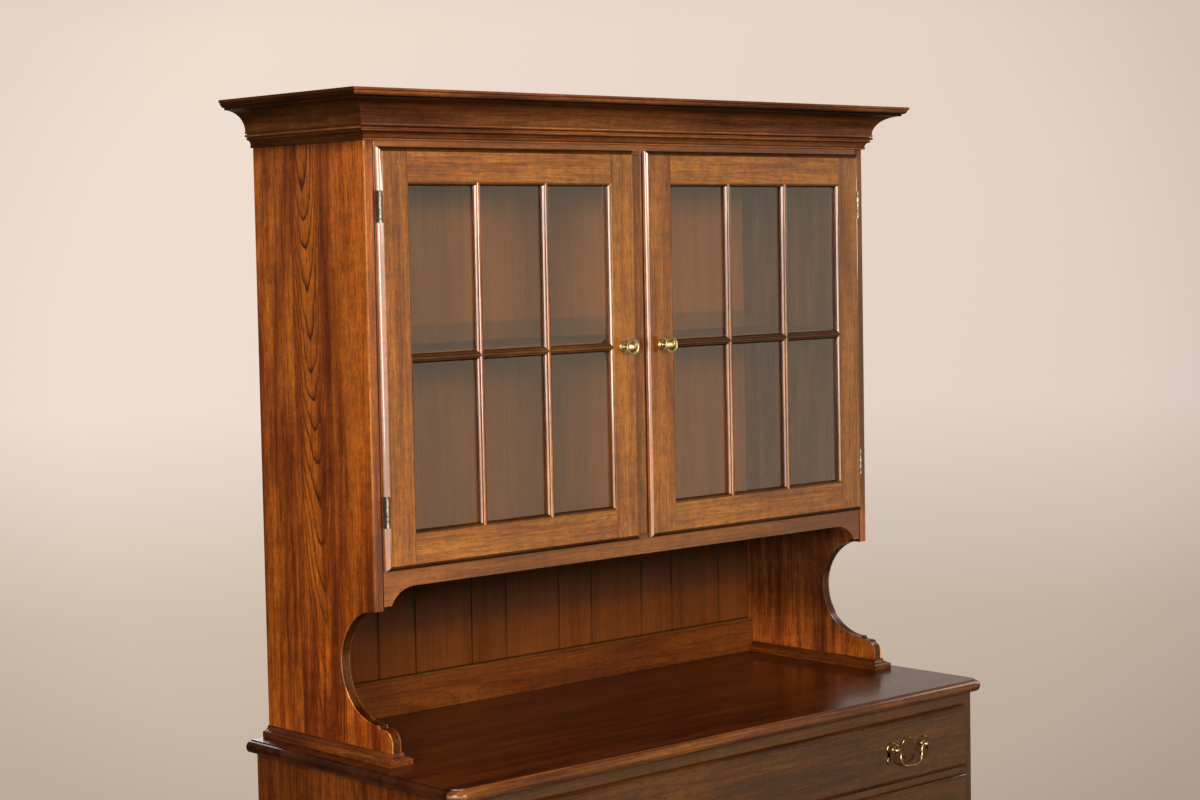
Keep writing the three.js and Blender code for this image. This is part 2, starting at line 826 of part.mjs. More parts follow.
function doors() {
  const section = doorSection();
  const paneInset = doorMember + stickingWidth - glassRabbet + seat;
  [['left', -1], ['right', 1]].forEach(([hand, sign]) => {
    const centreX = sign * doorCentre;
    const frame = mitredLoop(section, centreX, doorMidZ, doorHalf, doorHeight / 2);
    piece(`door_${hand}_frame`, cut(frame, hingeNotches(sign)), materials.front);
    piece(`door_${hand}_muntins`, muntinGrille(centreX), materials.front);
    const paneHalfX = doorHalf - paneInset;
    const paneHalfZ = doorHeight / 2 - paneInset;
    const pane = block(
      [centreX - paneHalfX, centreX + paneHalfX],
      [glassSeatY + seat, glassSeatY + seat + glassThick],
      [doorMidZ - paneHalfZ, doorMidZ + paneHalfZ],
    );
    piece(`door_${hand}_glass`, pane, materials.glass);
    const turned = knob().rotateX(Math.PI);
    turned.translate(sign * (doorInner + knobInset), lipFaceY, doorMidZ);
    piece(`door_${hand}_knob`, turned, materials.brass);
  });
}

// Base: top, case and bracket feet

function baseTop() {
  const outerX = baseHalf + topOverhang;
  const frontY = baseFrontY - topOverhang;
  const noseZ = baseTopZ - topFillet - topNoseRise;
  const tuckRise = noseZ - (baseTopZ - topThick);
  const edge = [
    ...quarter(topNoseTuck, noseZ, topNoseTuck, tuckRise, left).reverse(),
    ...quarter(topInset, noseZ, topInset, topNoseRise, up).reverse().slice(1),
    [topInset, baseTopZ],
  ];
  const ring = ([inset, z]) => {
    const radius = topCorner - inset;
    const cornerX = outerX - topCorner;
    const cornerY = frontY + topCorner;
    const leftArc = quarter(-cornerX, cornerY, radius, radius, left, arcSteps);
    const rightArc = quarter(cornerX, cornerY, radius, radius, down, arcSteps);
    const outline = [[inset - outerX, hutchDepth], ...leftArc, ...rightArc, [outerX - inset, hutchDepth]];
    return outline.map(([x, y]) => new THREE.Vector3(x, y, z));
  };
  piece('base_top', loft(edge.map(ring)), materials.top);
}

// Drawer places, from the top down: lip, opening and box

const drawers = [];
const firstLipZ = baseTopZ - topThick - baseTopReveal;
const lastLipZ = bracketHeight + bottomReveal;
const drawerGaps = (drawerHeightShares.length - 1) * drawerReveal;
let nextLipTopZ = firstLipZ;
drawerHeightShares.forEach((share, i) => {
  const height = share * (firstLipZ - lastLipZ - drawerGaps);
  const lipTop = nextLipTopZ;
  const lipBottom = lipTop - height;
  drawers.push({
    name: `drawer_${i + 1}`,
    lipTop,
    lipBottom,
    height,
    openTop: lipTop - lipStep,
    openBottom: lipBottom + lipStep,
  });
  nextLipTopZ = lipBottom - drawerReveal;
});
const lastDrawer = drawers.at(-1);
const caseZ = [bracketHeight + seat, baseTopUnder];
const drawerOuter = baseHalf - baseStrip;
const openingHalf = drawerOuter - lipStep;
const boxHalf = openingHalf - drawerPlay;
const baseBackY = hutchDepth - baseBackThick - baseBackInset;

function baseCase() {
  const face = rectangle([-baseHalf, baseHalf], caseZ);
  drawers.forEach(({ openBottom, openTop }) => {
    face.holes.push(rectangle([-openingHalf, openingHalf], [openBottom, openTop], THREE.Path));
  });
  piece('base_face_frame', prism('y', face, [baseFrontY, baseFrontY + frameThick]), materials.front);
  const spanY = [baseFrontY + frameThick + seat, hutchDepth];
  piece('base_side_left', block([-baseHalf, -baseInner], spanY, caseZ), materials.side);
  piece('base_side_right', block([baseInner, baseHalf], spanY, caseZ), materials.side);
  const innerX = [seat - baseInner, baseInner - seat];
  piece('base_back', block(innerX, [baseBackY, baseBackY + baseBackThick], caseZ), materials.plain);
}

// Runner frames and the floor, with a guide strip along each side

function guides(topZ, backEndY) {
  const inner = boxHalf + guidePlay;
  return [-1, 1].map((sign) => {
    const spanX = [sign * inner, sign * (baseInner - seat)].sort((a, b) => a - b);
    return block(spanX, [baseFrontY + frameThick + seat, backEndY], [topZ - runnerThick, topZ + guideHeight]);
  });
}

function runners() {
  const spanX = [seat - baseInner, baseInner - seat];
  const spanY = [baseFrontY + frameThick + seat, baseBackY - seat];
  const holeX = [spanX[0] + runnerMember, spanX[1] - runnerMember];
  const holeY = [spanY[0] + runnerMember, spanY[1] - runnerMember];
  drawers.slice(0, -1).forEach(({ openBottom }, i) => {
    const outline = rectangle(spanX, spanY);
    outline.holes.push(rectangle(holeX, holeY, THREE.Path));
    const frame = prism('z', outline, [openBottom - runnerThick, openBottom]);
    piece(`runner_frame_${i + 1}`, join([frame, ...guides(openBottom, spanY[1])]), materials.plain);
  });
  const floor = block(spanX, spanY, [lastDrawer.openBottom - runnerThick, lastDrawer.openBottom]);
  piece('base_floor', join([floor, ...guides(lastDrawer.openBottom, spanY[1])]), materials.plain);
}

// Bracket feet: a mitred frame with a moulded top edge and scrolled cut-outs

function scrollCutout(halfSpan, topZ) {
  const radius = bracketScrollRadius;
  const spurX = halfSpan - radius;
  const notchZ = topZ - bracketSpur;
  const rightSide = [
    [halfSpan, -overrun],
    ...quarter(spurX, notchZ - bracketNotch - radius, radius, radius, right, arcSteps),
    [spurX, notchZ],
    ...quarter(spurX - bracketSpur, notchZ, bracketSpur, bracketSpur, right, arcSteps).slice(1),
  ];
  const leftSide = rightSide.map(([u, z]) => [-u, z]).reverse();
  return new THREE.Shape(profile([...rightSide, ...leftSide]));
}

function bracketFeet() {
  const inner = bracketProud - bracketThick;
  const section = profile([
    [inner, 0],
    [bracketProud, 0],
    ...quarter(seat, bracketHeight - bracketMould, bracketProud - seat, bracketMould, right),
    [inner, bracketHeight],
  ]);
  const ring = (place) => section.map(({ x: out, y: z }) => new THREE.Vector3(...place(out), z));
  const frame = loft([
    ring((out) => [-baseHalf - out, hutchDepth]),
    ring((out) => [-baseHalf - out, baseFrontY - out]),
    ring((out) => [baseHalf + out, baseFrontY - out]),
    ring((out) => [baseHalf + out, hutchDepth]),
  ]);
  const cutTopZ = bracketHeight - bracketRail;
  const frontCut = scrollCutout(baseHalf + bracketProud - bracketFoot, cutTopZ);
  const frontY = [baseFrontY - overrun, baseFrontY + bracketThick];
  const sideLow = baseFrontY - bracketProud + bracketSideFoot;
  const sideHigh = hutchDepth - bracketSideFoot;
  const sideSpan = [-baseHalf - overrun, baseHalf + overrun];
  const sideCut = prism('x', scrollCutout((sideHigh - sideLow) / 2, cutTopZ), sideSpan);
  sideCut.translate(0, (sideLow + sideHigh) / 2, 0);
  piece('bracket_feet', cut(frame, [prism('y', frontCut, frontY), sideCut]), materials.front);
}

// Drawers: a lipped front and a box behind it

function drawerBox({ openBottom, openTop }) {
  const frontY = baseFrontY + lipBackY + bodyThick + seat;
  const backEndY = baseBackY - drawerBackRoom;
  const bottomZ = openBottom + runningPlay;
  const topZ = openTop - drawerHeadroom;
  const floorZ = bottomZ + drawerFloorRise;
  const inner = boxHalf - drawerWall;
  const box = block([-boxHalf, boxHalf], [frontY, backEndY], [bottomZ, topZ]);
  const innerY = [frontY - overrun, backEndY - drawerWall];
  const cavity = block([-inner, inner], innerY, [floorZ + drawerFloor, topZ + overrun]);
  const recess = block([-inner, inner], innerY, [bottomZ - overrun, floorZ]);
  return cut(box, [cavity, recess]);
}

function drawerSet() {
  const section = profile([
    [lipOverlap, baseFrontY + lipBackY + bodyThick],
    [lipOverlap, baseFrontY + lipBackY],
    ...lipSection(baseFrontY + lipBackY),
  ]);
  drawers.forEach((drawer) => {
    const midZ = (drawer.lipTop + drawer.lipBottom) / 2;
    const front = mitredPanel(section, 0, midZ, drawerOuter, drawer.height / 2);
    piece(`${drawer.name}_front`, front, materials.front);
    piece(`${drawer.name}_box`, drawerBox(drawer), materials.plain);
    [['left', -1], ['right', 1]].forEach(([hand, sign]) => {
      pull(`${drawer.name}_pull_${hand}`, sign * (baseHalf - pullInset), midZ + pullRise);
    });
  });
}

// Plate outline of the right half, from the top centre round to the bottom centre, as shares of its
// half width, and of its rise above or its drop below the posts: a bend point, then an end point
const plateCurveShares = [
  [[0.2, 1.02], [0.3, 0.56]],
  [[0.42, 0.34], [0.56, 0.62]],
  [[0.7, 1.12], [0.88, 0.78]],
  [[1.06, 0.42], [0.97, 0.04]],
  [[0.86, -0.06], [0.86, -0.3]],
  [[1.06, -0.62], [0.84, -0.98]],
  [[0.64, -1.04], [0.6, -0.62]],
  [[0.46, -0.34], [0.28, -0.5]],
  [[0.14, -0.58], [0, -0.86]],
];

function plateOutline() {
  const place = ([x, z]) => [x * plateHalfWidth, z * (z > 0 ? plateRise : plateDrop)];
  const half = new THREE.Path();
  half.moveTo(...place([0, 1]));
  plateCurveShares.forEach(([bend, end]) => half.quadraticCurveTo(...place(bend), ...place(end)));
  const points = half.getPoints(fineSteps - 1);
  const mirrored = points.slice(1, -1).reverse().map(({ x, y }) => new THREE.Vector2(-x, y));
  return new THREE.Shape([...points, ...mirrored]);
}

function post() {
  const stemAngle = Math.asin(postStem / postBall);
  const ball = Array.from({ length: arcSteps }, (_, i) => {
    const angle = stemAngle + (i / arcSteps) * (Math.PI - stemAngle);
    return [postBall * Math.sin(angle), postReach - postBall * Math.cos(angle)];
  });
  return new THREE.LatheGeometry(profile([
    [0, seat + plateThick / 2],
    [postFlange, seat + plateThick / 2],
    [postFlange, seat + plateThick + postFlangeThick / 2],
    [postStem, seat + plateThick + postFlangeThick],
    ...ball,
    [0, postReach + postBall],
  ]), postSteps);
}

// Half of a bail, from beside its post to the middle, as shares of its half width and of its drop
const bailShares = [[1.06, 0.04], [1, 0.16], [0.98, 0.32], [0.98, 0.5], [0.88, 0.74], [0.55, 0.94]];

function bailPath(y) {
  const pinEnd = postSpan / 2 + bailPinDepth;
  const pinStart = postSpan / 2 - postBall;
  const bend = bailShares.map(([x, z]) => [x * bailHalfWidth, -z * bailDrop]);
  const side = [[pinEnd, 0], [pinStart, 0], ...bend];
  const otherSide = side.map(([x, z]) => [-x, z]).reverse();
  const places = [...side, [0, -bailDrop], ...otherSide];
  return new THREE.CatmullRomCurve3(places.map(([x, z]) => new THREE.Vector3(x, y, z)), false, 'centripetal');
}

function pull(name, x, z) {
  const faceY = baseFrontY + lipFaceY;
  const outline = plateOutline();
  const plate = prism('y', outline, [-seat - plateThick, -seat]);
  const sides = [-1, 1];
  const posts = sides.map((sign) => post().rotateX(Math.PI).translate((sign * postSpan) / 2, 0, 0));
  const boreRadius = bailRod + bailPlay;
  const boreLength = postBall + bailPinDepth + bailPlay;
  const bores = sides.map((sign) => {
    const bore = new THREE.CylinderGeometry(boreRadius, boreRadius, boreLength, bailSides);
    const middle = postSpan / 2 + bailPinDepth + bailPlay - boreLength / 2;
    return bore.rotateZ(Math.PI / 2).translate(sign * middle, -postReach, 0);
  });
  const body = cut(join([plate, ...posts]), bores).translate(x, faceY, z);
  piece(`${name}_plate`, body, materials.brass);
  const rod = new THREE.Shape().absarc(0, 0, bailRod, 0, 2 * Math.PI);
  const options = { steps: bailSteps, curveSegments: bailSides / 2, extrudePath: bailPath(-postReach) };
  const bail = new THREE.ExtrudeGeometry(rod, options).translate(x, faceY, z);
  piece(`${name}_bail`, bail, materials.brass);
}

hutchCase();
hutchBack();
nicheRail();
footMouldings();
faceFrame();
crown();
doors();
hingePlaces.forEach(frameLeaf);
hingePlaces.forEach(doorLeaf);
baseTop();
baseCase();
runners();
bracketFeet();
drawerSet();

// The origin is on the floor, under the middle of the object's box
const middle = new THREE.Box3().setFromObject(cupboard, true).getCenter(new THREE.Vector3());
cupboard.position.set(0, -middle.y, 0);

export default cupboard;
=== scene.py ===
"""The looks of a step back cupboard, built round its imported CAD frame.

Metres, +Z up, the front faces -Y. Every place is worked out from the frame's own boxes.
"""

import json
import math
from zlib import crc32

import bmesh
import bpy
from mathutils import Matrix, Vector

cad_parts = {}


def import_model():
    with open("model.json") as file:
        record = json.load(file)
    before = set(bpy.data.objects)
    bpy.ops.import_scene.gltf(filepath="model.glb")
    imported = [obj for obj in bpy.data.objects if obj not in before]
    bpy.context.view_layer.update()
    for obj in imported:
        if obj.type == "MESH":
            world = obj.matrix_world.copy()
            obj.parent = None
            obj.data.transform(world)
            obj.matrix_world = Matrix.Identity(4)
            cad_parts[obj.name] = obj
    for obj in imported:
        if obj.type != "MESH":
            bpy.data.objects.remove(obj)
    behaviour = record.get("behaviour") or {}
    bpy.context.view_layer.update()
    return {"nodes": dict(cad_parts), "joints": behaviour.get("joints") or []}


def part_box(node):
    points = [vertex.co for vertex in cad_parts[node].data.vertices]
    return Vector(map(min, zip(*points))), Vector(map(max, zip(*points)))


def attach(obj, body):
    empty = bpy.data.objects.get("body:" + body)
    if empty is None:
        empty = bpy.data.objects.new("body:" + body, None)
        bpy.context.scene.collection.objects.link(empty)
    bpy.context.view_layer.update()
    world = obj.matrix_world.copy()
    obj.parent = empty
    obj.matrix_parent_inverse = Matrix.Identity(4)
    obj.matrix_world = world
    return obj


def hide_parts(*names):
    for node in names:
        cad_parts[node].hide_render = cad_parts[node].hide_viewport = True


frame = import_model()
nodes = frame["nodes"]
joints = {joint["name"]: joint for joint in frame["joints"]}

MM = 0.001
HANDS = (("left", -1), ("right", 1))

# The photograph's camera: its place, its turn from +Y towards +X, its rise, its roll and its lens
CAMERA_PLACE = Vector((-2.9494, -3.1739, 1.6637))
CAMERA_TURN = math.radians(42.16)
CAMERA_RISE = math.radians(-3.71)
CAMERA_ROLL = math.radians(-1.08)
CAMERA_LENS = 71.28
CAMERA_SENSOR = 36


# Node trees


def fill(tree, made, inputs):
    """Sets or links the inputs of a node."""
    for name, value in inputs.items():
        if isinstance(value, bpy.types.NodeSocket):
            tree.links.new(value, made.inputs[name])
        else:
            made.inputs[name].default_value = value


def add(tree, kind, inputs=None, **settings):
    """A new shader node, with its settings and its inputs set or linked."""
    made = tree.nodes.new(kind)
    for name, value in settings.items():
        setattr(made, name, value)
    fill(tree, made, inputs or {})
    return made


def calc(tree, operation, *values):
    """The result of a math node."""
    return add(tree, "ShaderNodeMath", dict(enumerate(values)), operation=operation).outputs[0]


def ramp(tree, fac, stops):
    """A colour ramp through (place, colour) or (start, end, colour) stops."""
    made = add(tree, "ShaderNodeValToRGB", {"Fac": fac})
    elements = made.color_ramp.elements
    elements.remove(elements[-1])
    spread = [(place, colour) for *places, colour in stops for place in places]
    for i, (place, colour) in enumerate(spread):
        element = elements.new(place) if i else elements[0]
        element.position = place
        element.color = as_colour(colour)
    return made.outputs["Color"]


def blend(tree, fac, low, high, mode="MIX"):
    """A mix of two colours."""
    inputs = {0: fac, 6: as_colour(low), 7: as_colour(high)}
    return add(tree, "ShaderNodeMix", inputs, data_type="RGBA", blend_type=mode).outputs[2]


def pick(tree, fac, low, high):
    """A vector that is low where fac is 0 and high where it is 1."""
    return add(tree, "ShaderNodeMix", {0: fac, 4: low, 5: high}, data_type="VECTOR").outputs[1]


def as_colour(value):
    """A colour with its alpha, from a colour or one grey number, or the socket as it is."""
    if isinstance(value, bpy.types.NodeSocket):
        return value
    return (value, value, value, 1) if isinstance(value, (int, float)) else (*value, 1)


def tinted(tree, colour, factor):
    """A colour multiplied by another one."""
    return blend(tree, 1.0, colour, factor, "MULTIPLY")


def size_of(tree, value):
    """A value without its sign."""
    return calc(tree, "ABSOLUTE", value)


def plus(tree, value, other):
    """The sum of two values."""
    return calc(tree, "ADD", value, other)


def minus(tree, value, other):
    """The difference of two values."""
    return calc(tree, "SUBTRACT", value, other)


def times(tree, value, other):
    """The product of two values."""
    return calc(tree, "MULTIPLY", value, other)


def over(tree, value, other):
    """The quotient of two values."""
    return calc(tree, "DIVIDE", value, other)


def above(tree, value, limit):
    """1 where a value is above a limit, and else 0."""
    return calc(tree, "GREATER_THAN", value, limit)


def below(tree, value, limit):
    """1 where a value is below a limit, and else 0."""
    return calc(tree, "LESS_THAN", value, limit)


def inside_span(tree, value, middle, half):
    """1 where a value lies within half of middle, and else 0."""
    return below(tree, size_of(tree, minus(tree, value, middle)), half)


def share(tree, value, low, high):
    """How far a value has come from low, at 0, to high, at 1."""
    return over(tree, minus(tree, value, low), high - low)


def object_place(tree):
    """A place in the row frame."""
    return add(tree, "ShaderNodeTexCoord").outputs["Object"]


def split(tree, vector):
    """The X, Y and Z of a vector."""
    return add(tree, "ShaderNodeSeparateXYZ", {0: vector}).outputs


def scaled(tree, vector, factors):
    """A vector with each of its parts scaled."""
    inputs = {0: vector, 1: factors}
    return add(tree, "ShaderNodeVectorMath", inputs, operation="MULTIPLY").outputs[0]


def noise(tree, vector, scale, detail=2.0, roughness=0.5):
    """A noise value from 0 to 1."""
    inputs = {"Vector": vector, "Scale": scale, "Detail": detail, "Roughness": roughness}
    return add(tree, "ShaderNodeTexNoise", inputs).outputs["Fac"]


def bump(tree, height, strength, distance):
    """The normal of a surface in relief."""
    inputs = {"Height": height, "Strength": strength, "Distance": distance}
    return add(tree, "ShaderNodeBump", inputs).outputs["Normal"]


def new_material(name):
    """A new material, its node tree and its shader."""
    material = bpy.data.materials.new(name)
    material.use_nodes = True
    tree = material.node_tree
    return material, tree, tree.nodes["Principled BSDF"]


# Wood


# How dark a ring is, from its inner side to its outer one
LATE_WOOD = ((0.0, 0.25), (0.03, 0.0), (0.55, 0.04), (0.80, 0.40), (0.91, 0.98, 1.0), (1.0, 0.25))

# Patterns in wood: factors across, through and along a board, of which a low one draws the pattern
# out, then scale, detail and roughness
PATTERNS = {
    "sway": ((1, 1, 0.18), 5.0, 3.0, 0.5),
    "jag": ((1, 1, 0.25), 60.0, 3.0, 0.6),
    "spacing": ((1, 1, 0.42), 12.0, 1.0, 0.5),
    "fading": ((1, 1, 0.2), 11.0, 1.0, 0.5),
    "broad": ((1, 1, 0.16), 13.0, 3.0, 0.55),
    "streak": ((1, 1, 0.07), 48.0, 4.0, 0.55),
    "line": ((1, 1, 0.025), 300.0, 3.0, 0.65),
    "cloud": ((1, 1, 0.4), 6.0, 3.0, 0.5),
    "ripple": ((0.45, 1, 1), 50.0, 4.0, 0.65),
    "fleck": ((1, 1, 0.20), 240.0, 2.0, 0.6),
    "speck": ((1, 1, 0.6), 420.0, 2.0, 0.6),
    "fibre": ((1, 1, 0.02), 700.0, 2.0, 0.6),
}
# How far the patterns move the rings: sideways, in depth, and in turns from ring to ring
SWAY_WIDTH = 0.024
JAG_DEPTH = 0.0016
SPACING_TURNS = 2.6
# How the rings fade away from the middle of the figure, in metres, and in patches along it
FIGURE_FADE = ((0.030, 1.0), (0.060, 0.55), (0.110, 0.22))
PATCH_FADE = ((0.36, 0.45), (0.56, 1.0))
# How much each pattern counts in the tone, and where dark gives way to middle and middle to light
TONE_SHARES = (("broad", 0.45), ("streak", 0.42), ("line", 0.13))
DARK_TO_MIDDLE = ((0.42, 0.0), (0.505, 1.0))
MIDDLE_TO_LIGHT = ((0.495, 0.0), (0.58, 1.0))
# How the finer patterns darken and lighten the wood
LAYERS = (
    ("cloud", ((0.34, 0.76), (0.60, 1.08))),
    ("ripple", ((0.38, 0.84), (0.62, 1.12))),
    ("line", ((0.38, 0.76), (0.58, 1.10))),
    ("fleck", ((0.38, 0.72), (0.52, 1.05))),
    ("speck", ((0.38, 0.82), (0.60, 1.12))),
    ("fibre", ((0.32, 0.76), (0.62, 1.08))),
)
# A ring's tone by the dark tone of its wood
RING_TONE = 0.40
# How much streaks and clouds roughen the wood, and how much a ring sinks below the fibres
STREAK_SHINE = 0.14
CLOUD_SHINE = 0.12
RING_SINK = 0.2


def wood_group():
    """Cut wood: rings round a leaning pith line along Z, with fibres, streaks and mottling along it."""
    tree = bpy.data.node_groups.new("wood", "ShaderNodeTree")
    sockets = [("Place", "Vector")]
    sockets += [(name, "Float") for name in ("Ring", "Figure", "Taper", "Lean", "Breadth", "Grain")]
    sockets += [(name, "Color") for name in ("Dark", "Middle", "Light")]
    for name, kind in sockets:
        tree.interface.new_socket(name, in_out="INPUT", socket_type=f"NodeSocket{kind}")
    for name, kind in (("Color", "Color"), ("Shine", "Float"), ("Height", "Float")):
        tree.interface.new_socket(name, in_out="OUTPUT", socket_type=f"NodeSocket{kind}")
    source = tree.nodes.new("NodeGroupInput").outputs
    pattern = {
        name: noise(tree, scaled(tree, source["Place"], stretch), *look)
        for name, (stretch, *look) in PATTERNS.items()
    }

    x, y, z = split(tree, source["Place"])
    swayed = plus(tree, x, times(tree, minus(tree, pattern["sway"], 0.5), SWAY_WIDTH))
    across = minus(tree, swayed, times(tree, z, source["Lean"]))
    depth = plus(tree, y, times(tree, z, source["Taper"]))
    depth = plus(tree, depth, times(tree, minus(tree, pattern["jag"], 0.5), JAG_DEPTH))
    broad = times(tree, across, source["Breadth"])
    radius = plus(tree, times(tree, broad, broad), times(tree, depth, depth))
    turns = over(tree, calc(tree, "SQRT", radius), source["Ring"])
    turns = plus(tree, turns, times(tree, pattern["spacing"], SPACING_TURNS))
    late = ramp(tree, calc(tree, "FRACT", turns), LATE_WOOD)
    near_middle = ramp(tree, size_of(tree, across), FIGURE_FADE)
    patches = times(tree, ramp(tree, pattern["fading"], PATCH_FADE), source["Figure"])
    ring_dark = times(tree, times(tree, late, near_middle), patches)

    shares = [times(tree, pattern[name], weight) for name, weight in TONE_SHARES]
    tone = plus(tree, plus(tree, shares[0], shares[1]), shares[2])
    base = blend(tree, ramp(tree, tone, DARK_TO_MIDDLE), source["Dark"], source["Middle"])
    base = blend(tree, ramp(tree, tone, MIDDLE_TO_LIGHT), base, source["Light"])
    for name, stops in LAYERS:
        base = blend(tree, source["Grain"], base, ramp(tree, pattern[name], stops), "MULTIPLY")
    base = blend(tree, ring_dark, base, tinted(tree, source["Dark"], RING_TONE))
    shine = times(tree, pattern["streak"], STREAK_SHINE)
    results = {
        "Color": base,
        "Shine": plus(tree, shine, times(tree, pattern["cloud"], CLOUD_SHINE)),
        "Height": minus(tree, pattern["fibre"], times(tree, late, RING_SINK)),
    }
    fill(tree, tree.nodes.new("NodeGroupOutput"), results)
    return tree


WOOD = wood_group()

# Tones of each finish, dark, middle and light, then its ring strength, grain strength, roughness,
# specular level, lacquer and relief
FINISHES = {
    "side": (
        (0.118, 0.0225, 0.0025), (0.25, 0.0545, 0.0052), (0.39, 0.102, 0.0094),
        1.0, 0.9, 0.4, 0.1, 0.8, 0.06,
    ),
    "front": (
        (0.18, 0.045, 0.0042), (0.268, 0.075, 0.0058), (0.36, 0.118, 0.0098),
        0.5, 0.9, 0.4, 0.1, 0.75, 0.05,
    ),
    "apron": (
        (0.14, 0.034, 0.0046), (0.2, 0.052, 0.0062), (0.265, 0.077, 0.009),
        0.25, 0.6, 0.4, 0.1, 0.7, 0.05,
    ),
    "crown": (
        (0.088, 0.024, 0.0075), (0.158, 0.047, 0.0125), (0.215, 0.07, 0.0185),
        0.3, 0.7, 0.4, 0.03, 0.2, 0.04,
    ),
    "top": (
        (0.03, 0.0054, 0.0009), (0.055, 0.01, 0.0014), (0.085, 0.018, 0.0024),
        0.3, 0.7, 0.3, 0.1, 0.35, 0.0,
    ),
    "drawer": (
        (0.043, 0.012, 0.002), (0.069, 0.02, 0.0028), (0.095, 0.03, 0.0042),
        0.35, 0.8, 0.42, 0.1, 0.3, 0.05,
    ),
    "foot": (
        (0.062, 0.013, 0.0022), (0.122, 0.027, 0.0033), (0.18, 0.045, 0.0054),
        0.45, 0.8, 0.4, 0.1, 0.35, 0.06,
    ),
    "rail": (
        (0.11, 0.023, 0.0026), (0.15, 0.033, 0.0036), (0.19, 0.046, 0.005),
        0.35, 0.6, 0.5, 0.1, 0.15, 0.06,
    ),
    "inside": (
        (0.087, 0.027, 0.008), (0.1, 0.031, 0.0093), (0.114, 0.036, 0.011),
        0.1, 0.25, 0.5, 0.03, 0.0, 0.08,
    ),
    "peg": (
        (0.2, 0.075, 0.025), (0.3, 0.115, 0.04), (0.38, 0.15, 0.055),
        0.5, 0.8, 0.45, 0.1, 0.6, 0.05,
    ),
    "plain": (
        (0.35, 0.225, 0.115), (0.48, 0.32, 0.17), (0.57, 0.4, 0.225),
        0.3, 0.3, 0.6, 0.4, 0.0, 0.2,
    ),
}

# The mean of the patterns' shine, the depth of the fibres, and the lacquer's gloss
SHINE_MIDDLE = 0.13
FIBRE_DEPTH = 0.5 * MM
LACQUER_ROUGH = 0.11
LACQUER_IOR = 1.65

# Which of the row's axes lie across a board's face, through it and along its grain
TURNS = {
    "along z, facing y": (0, 1, 2),
    "along z, facing x": (1, 0, 2),
    "along x, facing y": (2, 1, 0),
    "along x, facing z": (1, 2, 0),
    "along y, facing x": (2, 0, 1),
    "along y, facing z": (0, 2, 1),
}


def chance(name, salt):
    """A fixed number from 0 to 1 that belongs to a name."""
    return (crc32(f"{name} {salt}".encode()) % 10007) / 10007


def board_space(tree, parts, turn, pith):
    """The place in a board, with X across its face, Y through it and Z along its grain."""
    turned = add(tree, "ShaderNodeCombineXYZ", dict(enumerate(parts[i] for i in TURNS[turn])))
    inputs = {0: turned.outputs[0], 1: pith}
    return add(tree, "ShaderNodeVectorMath", inputs, operation="SUBTRACT").outputs[0]


# How widely pith lines are spread to the side of a board's middle, below it and along it, and how far
# below it they lie at least
PITH_SIDE = 0.10
PITH_DEEP = 0.07
PITH_ALONG = 0.8
PITH_LEAST = 0.02


def pith_of(name, turn, around):
    """A pith line near a board, so that each board has its own figure."""
    middle = [around[i] for i in TURNS[turn]]
    side = PITH_SIDE * (chance(name, "side") - 0.5)
    deep = PITH_LEAST + PITH_DEEP * chance(name, "deep")
    along = PITH_ALONG * (chance(name, "along") - 0.5)
    return (middle[0] + side, middle[1] - deep, middle[2] + along)


def wood(
    name, finish, turn, ring=0.0045, taper=0.02, pith=None, cross=None, tint=None, lean=0.0, breadth=0.6
):
    """A wood material for one piece.

    ring is the width of a year's ring, taper and lean are how the pith line nears the face and leans
    across it, and breadth is below 1 where the rings are drawn out across the face.

    cross(tree, parts) gives a mask of the stretches of another board, with its turn and its pith.
    tint(tree, parts) gives a factor for the colour, and where it darkens it dulls the lacquer too.
    """
    dark, middle, light, figure, strength, rough, specular, lacquer, relief = FINISHES[finish]
    material, tree, shader = new_material(f"wood_{name}")
    low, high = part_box(name)
    around = (low + high) / 2
    parts = split(tree, object_place(tree))
    space = board_space(tree, parts, turn, pith or pith_of(name, turn, around))
    if cross:
        mask, other, other_pith = cross(tree, parts)
        other_pith = other_pith or pith_of(name + " cross", other, around)
        space = pick(tree, mask, space, board_space(tree, parts, other, other_pith))
    cut = add(tree, "ShaderNodeGroup", node_tree=WOOD)
    shape = (space, ring, figure, taper, lean, breadth, strength)
    fill(tree, cut, dict(enumerate((*shape, as_colour(dark), as_colour(middle), as_colour(light)))))
    colour = cut.outputs["Color"]
    if tint:
        factor = tint(tree, parts)
        colour = tinted(tree, colour, factor)
        bright = add(tree, "ShaderNodeRGBToBW", {0: factor}).outputs[0]
        lacquer = times(tree, calc(tree, "MINIMUM", bright, 1.0), lacquer)
    looks = {
        "Base Color": colour,
        "Roughness": plus(tree, cut.outputs["Shine"], rough - SHINE_MIDDLE),
        "Specular IOR Level": specular,
        "Coat Weight": lacquer,
        "Coat Roughness": LACQUER_ROUGH,
        "Coat IOR": LACQUER_IOR,
    }
    if relief:
        looks["Normal"] = bump(tree, cut.outputs["Height"], relief, FIBRE_DEPTH)
    fill(tree, shader, looks)
    return material


# Metals and glass


# Patina: scale, detail and roughness of its clouds and specks, the value at which it starts, how much
# sooner it does on a metal with more of it, and the width of its soft edge
PATINA_CLOUD = (160.0, 4.0, 0.6)
PATINA_SPECK = (1400.0, 2.0)
PATINA_START = 0.42
PATINA_SHIFT = 0.2
PATINA_WIDTH = 0.30
# How much the patina and the specks roughen a metal, and how deep the specks are
PATINA_ROUGH = 0.18
SPECK_ROUGH = 0.12
SPECK_DEPTH = 0.3 * MM


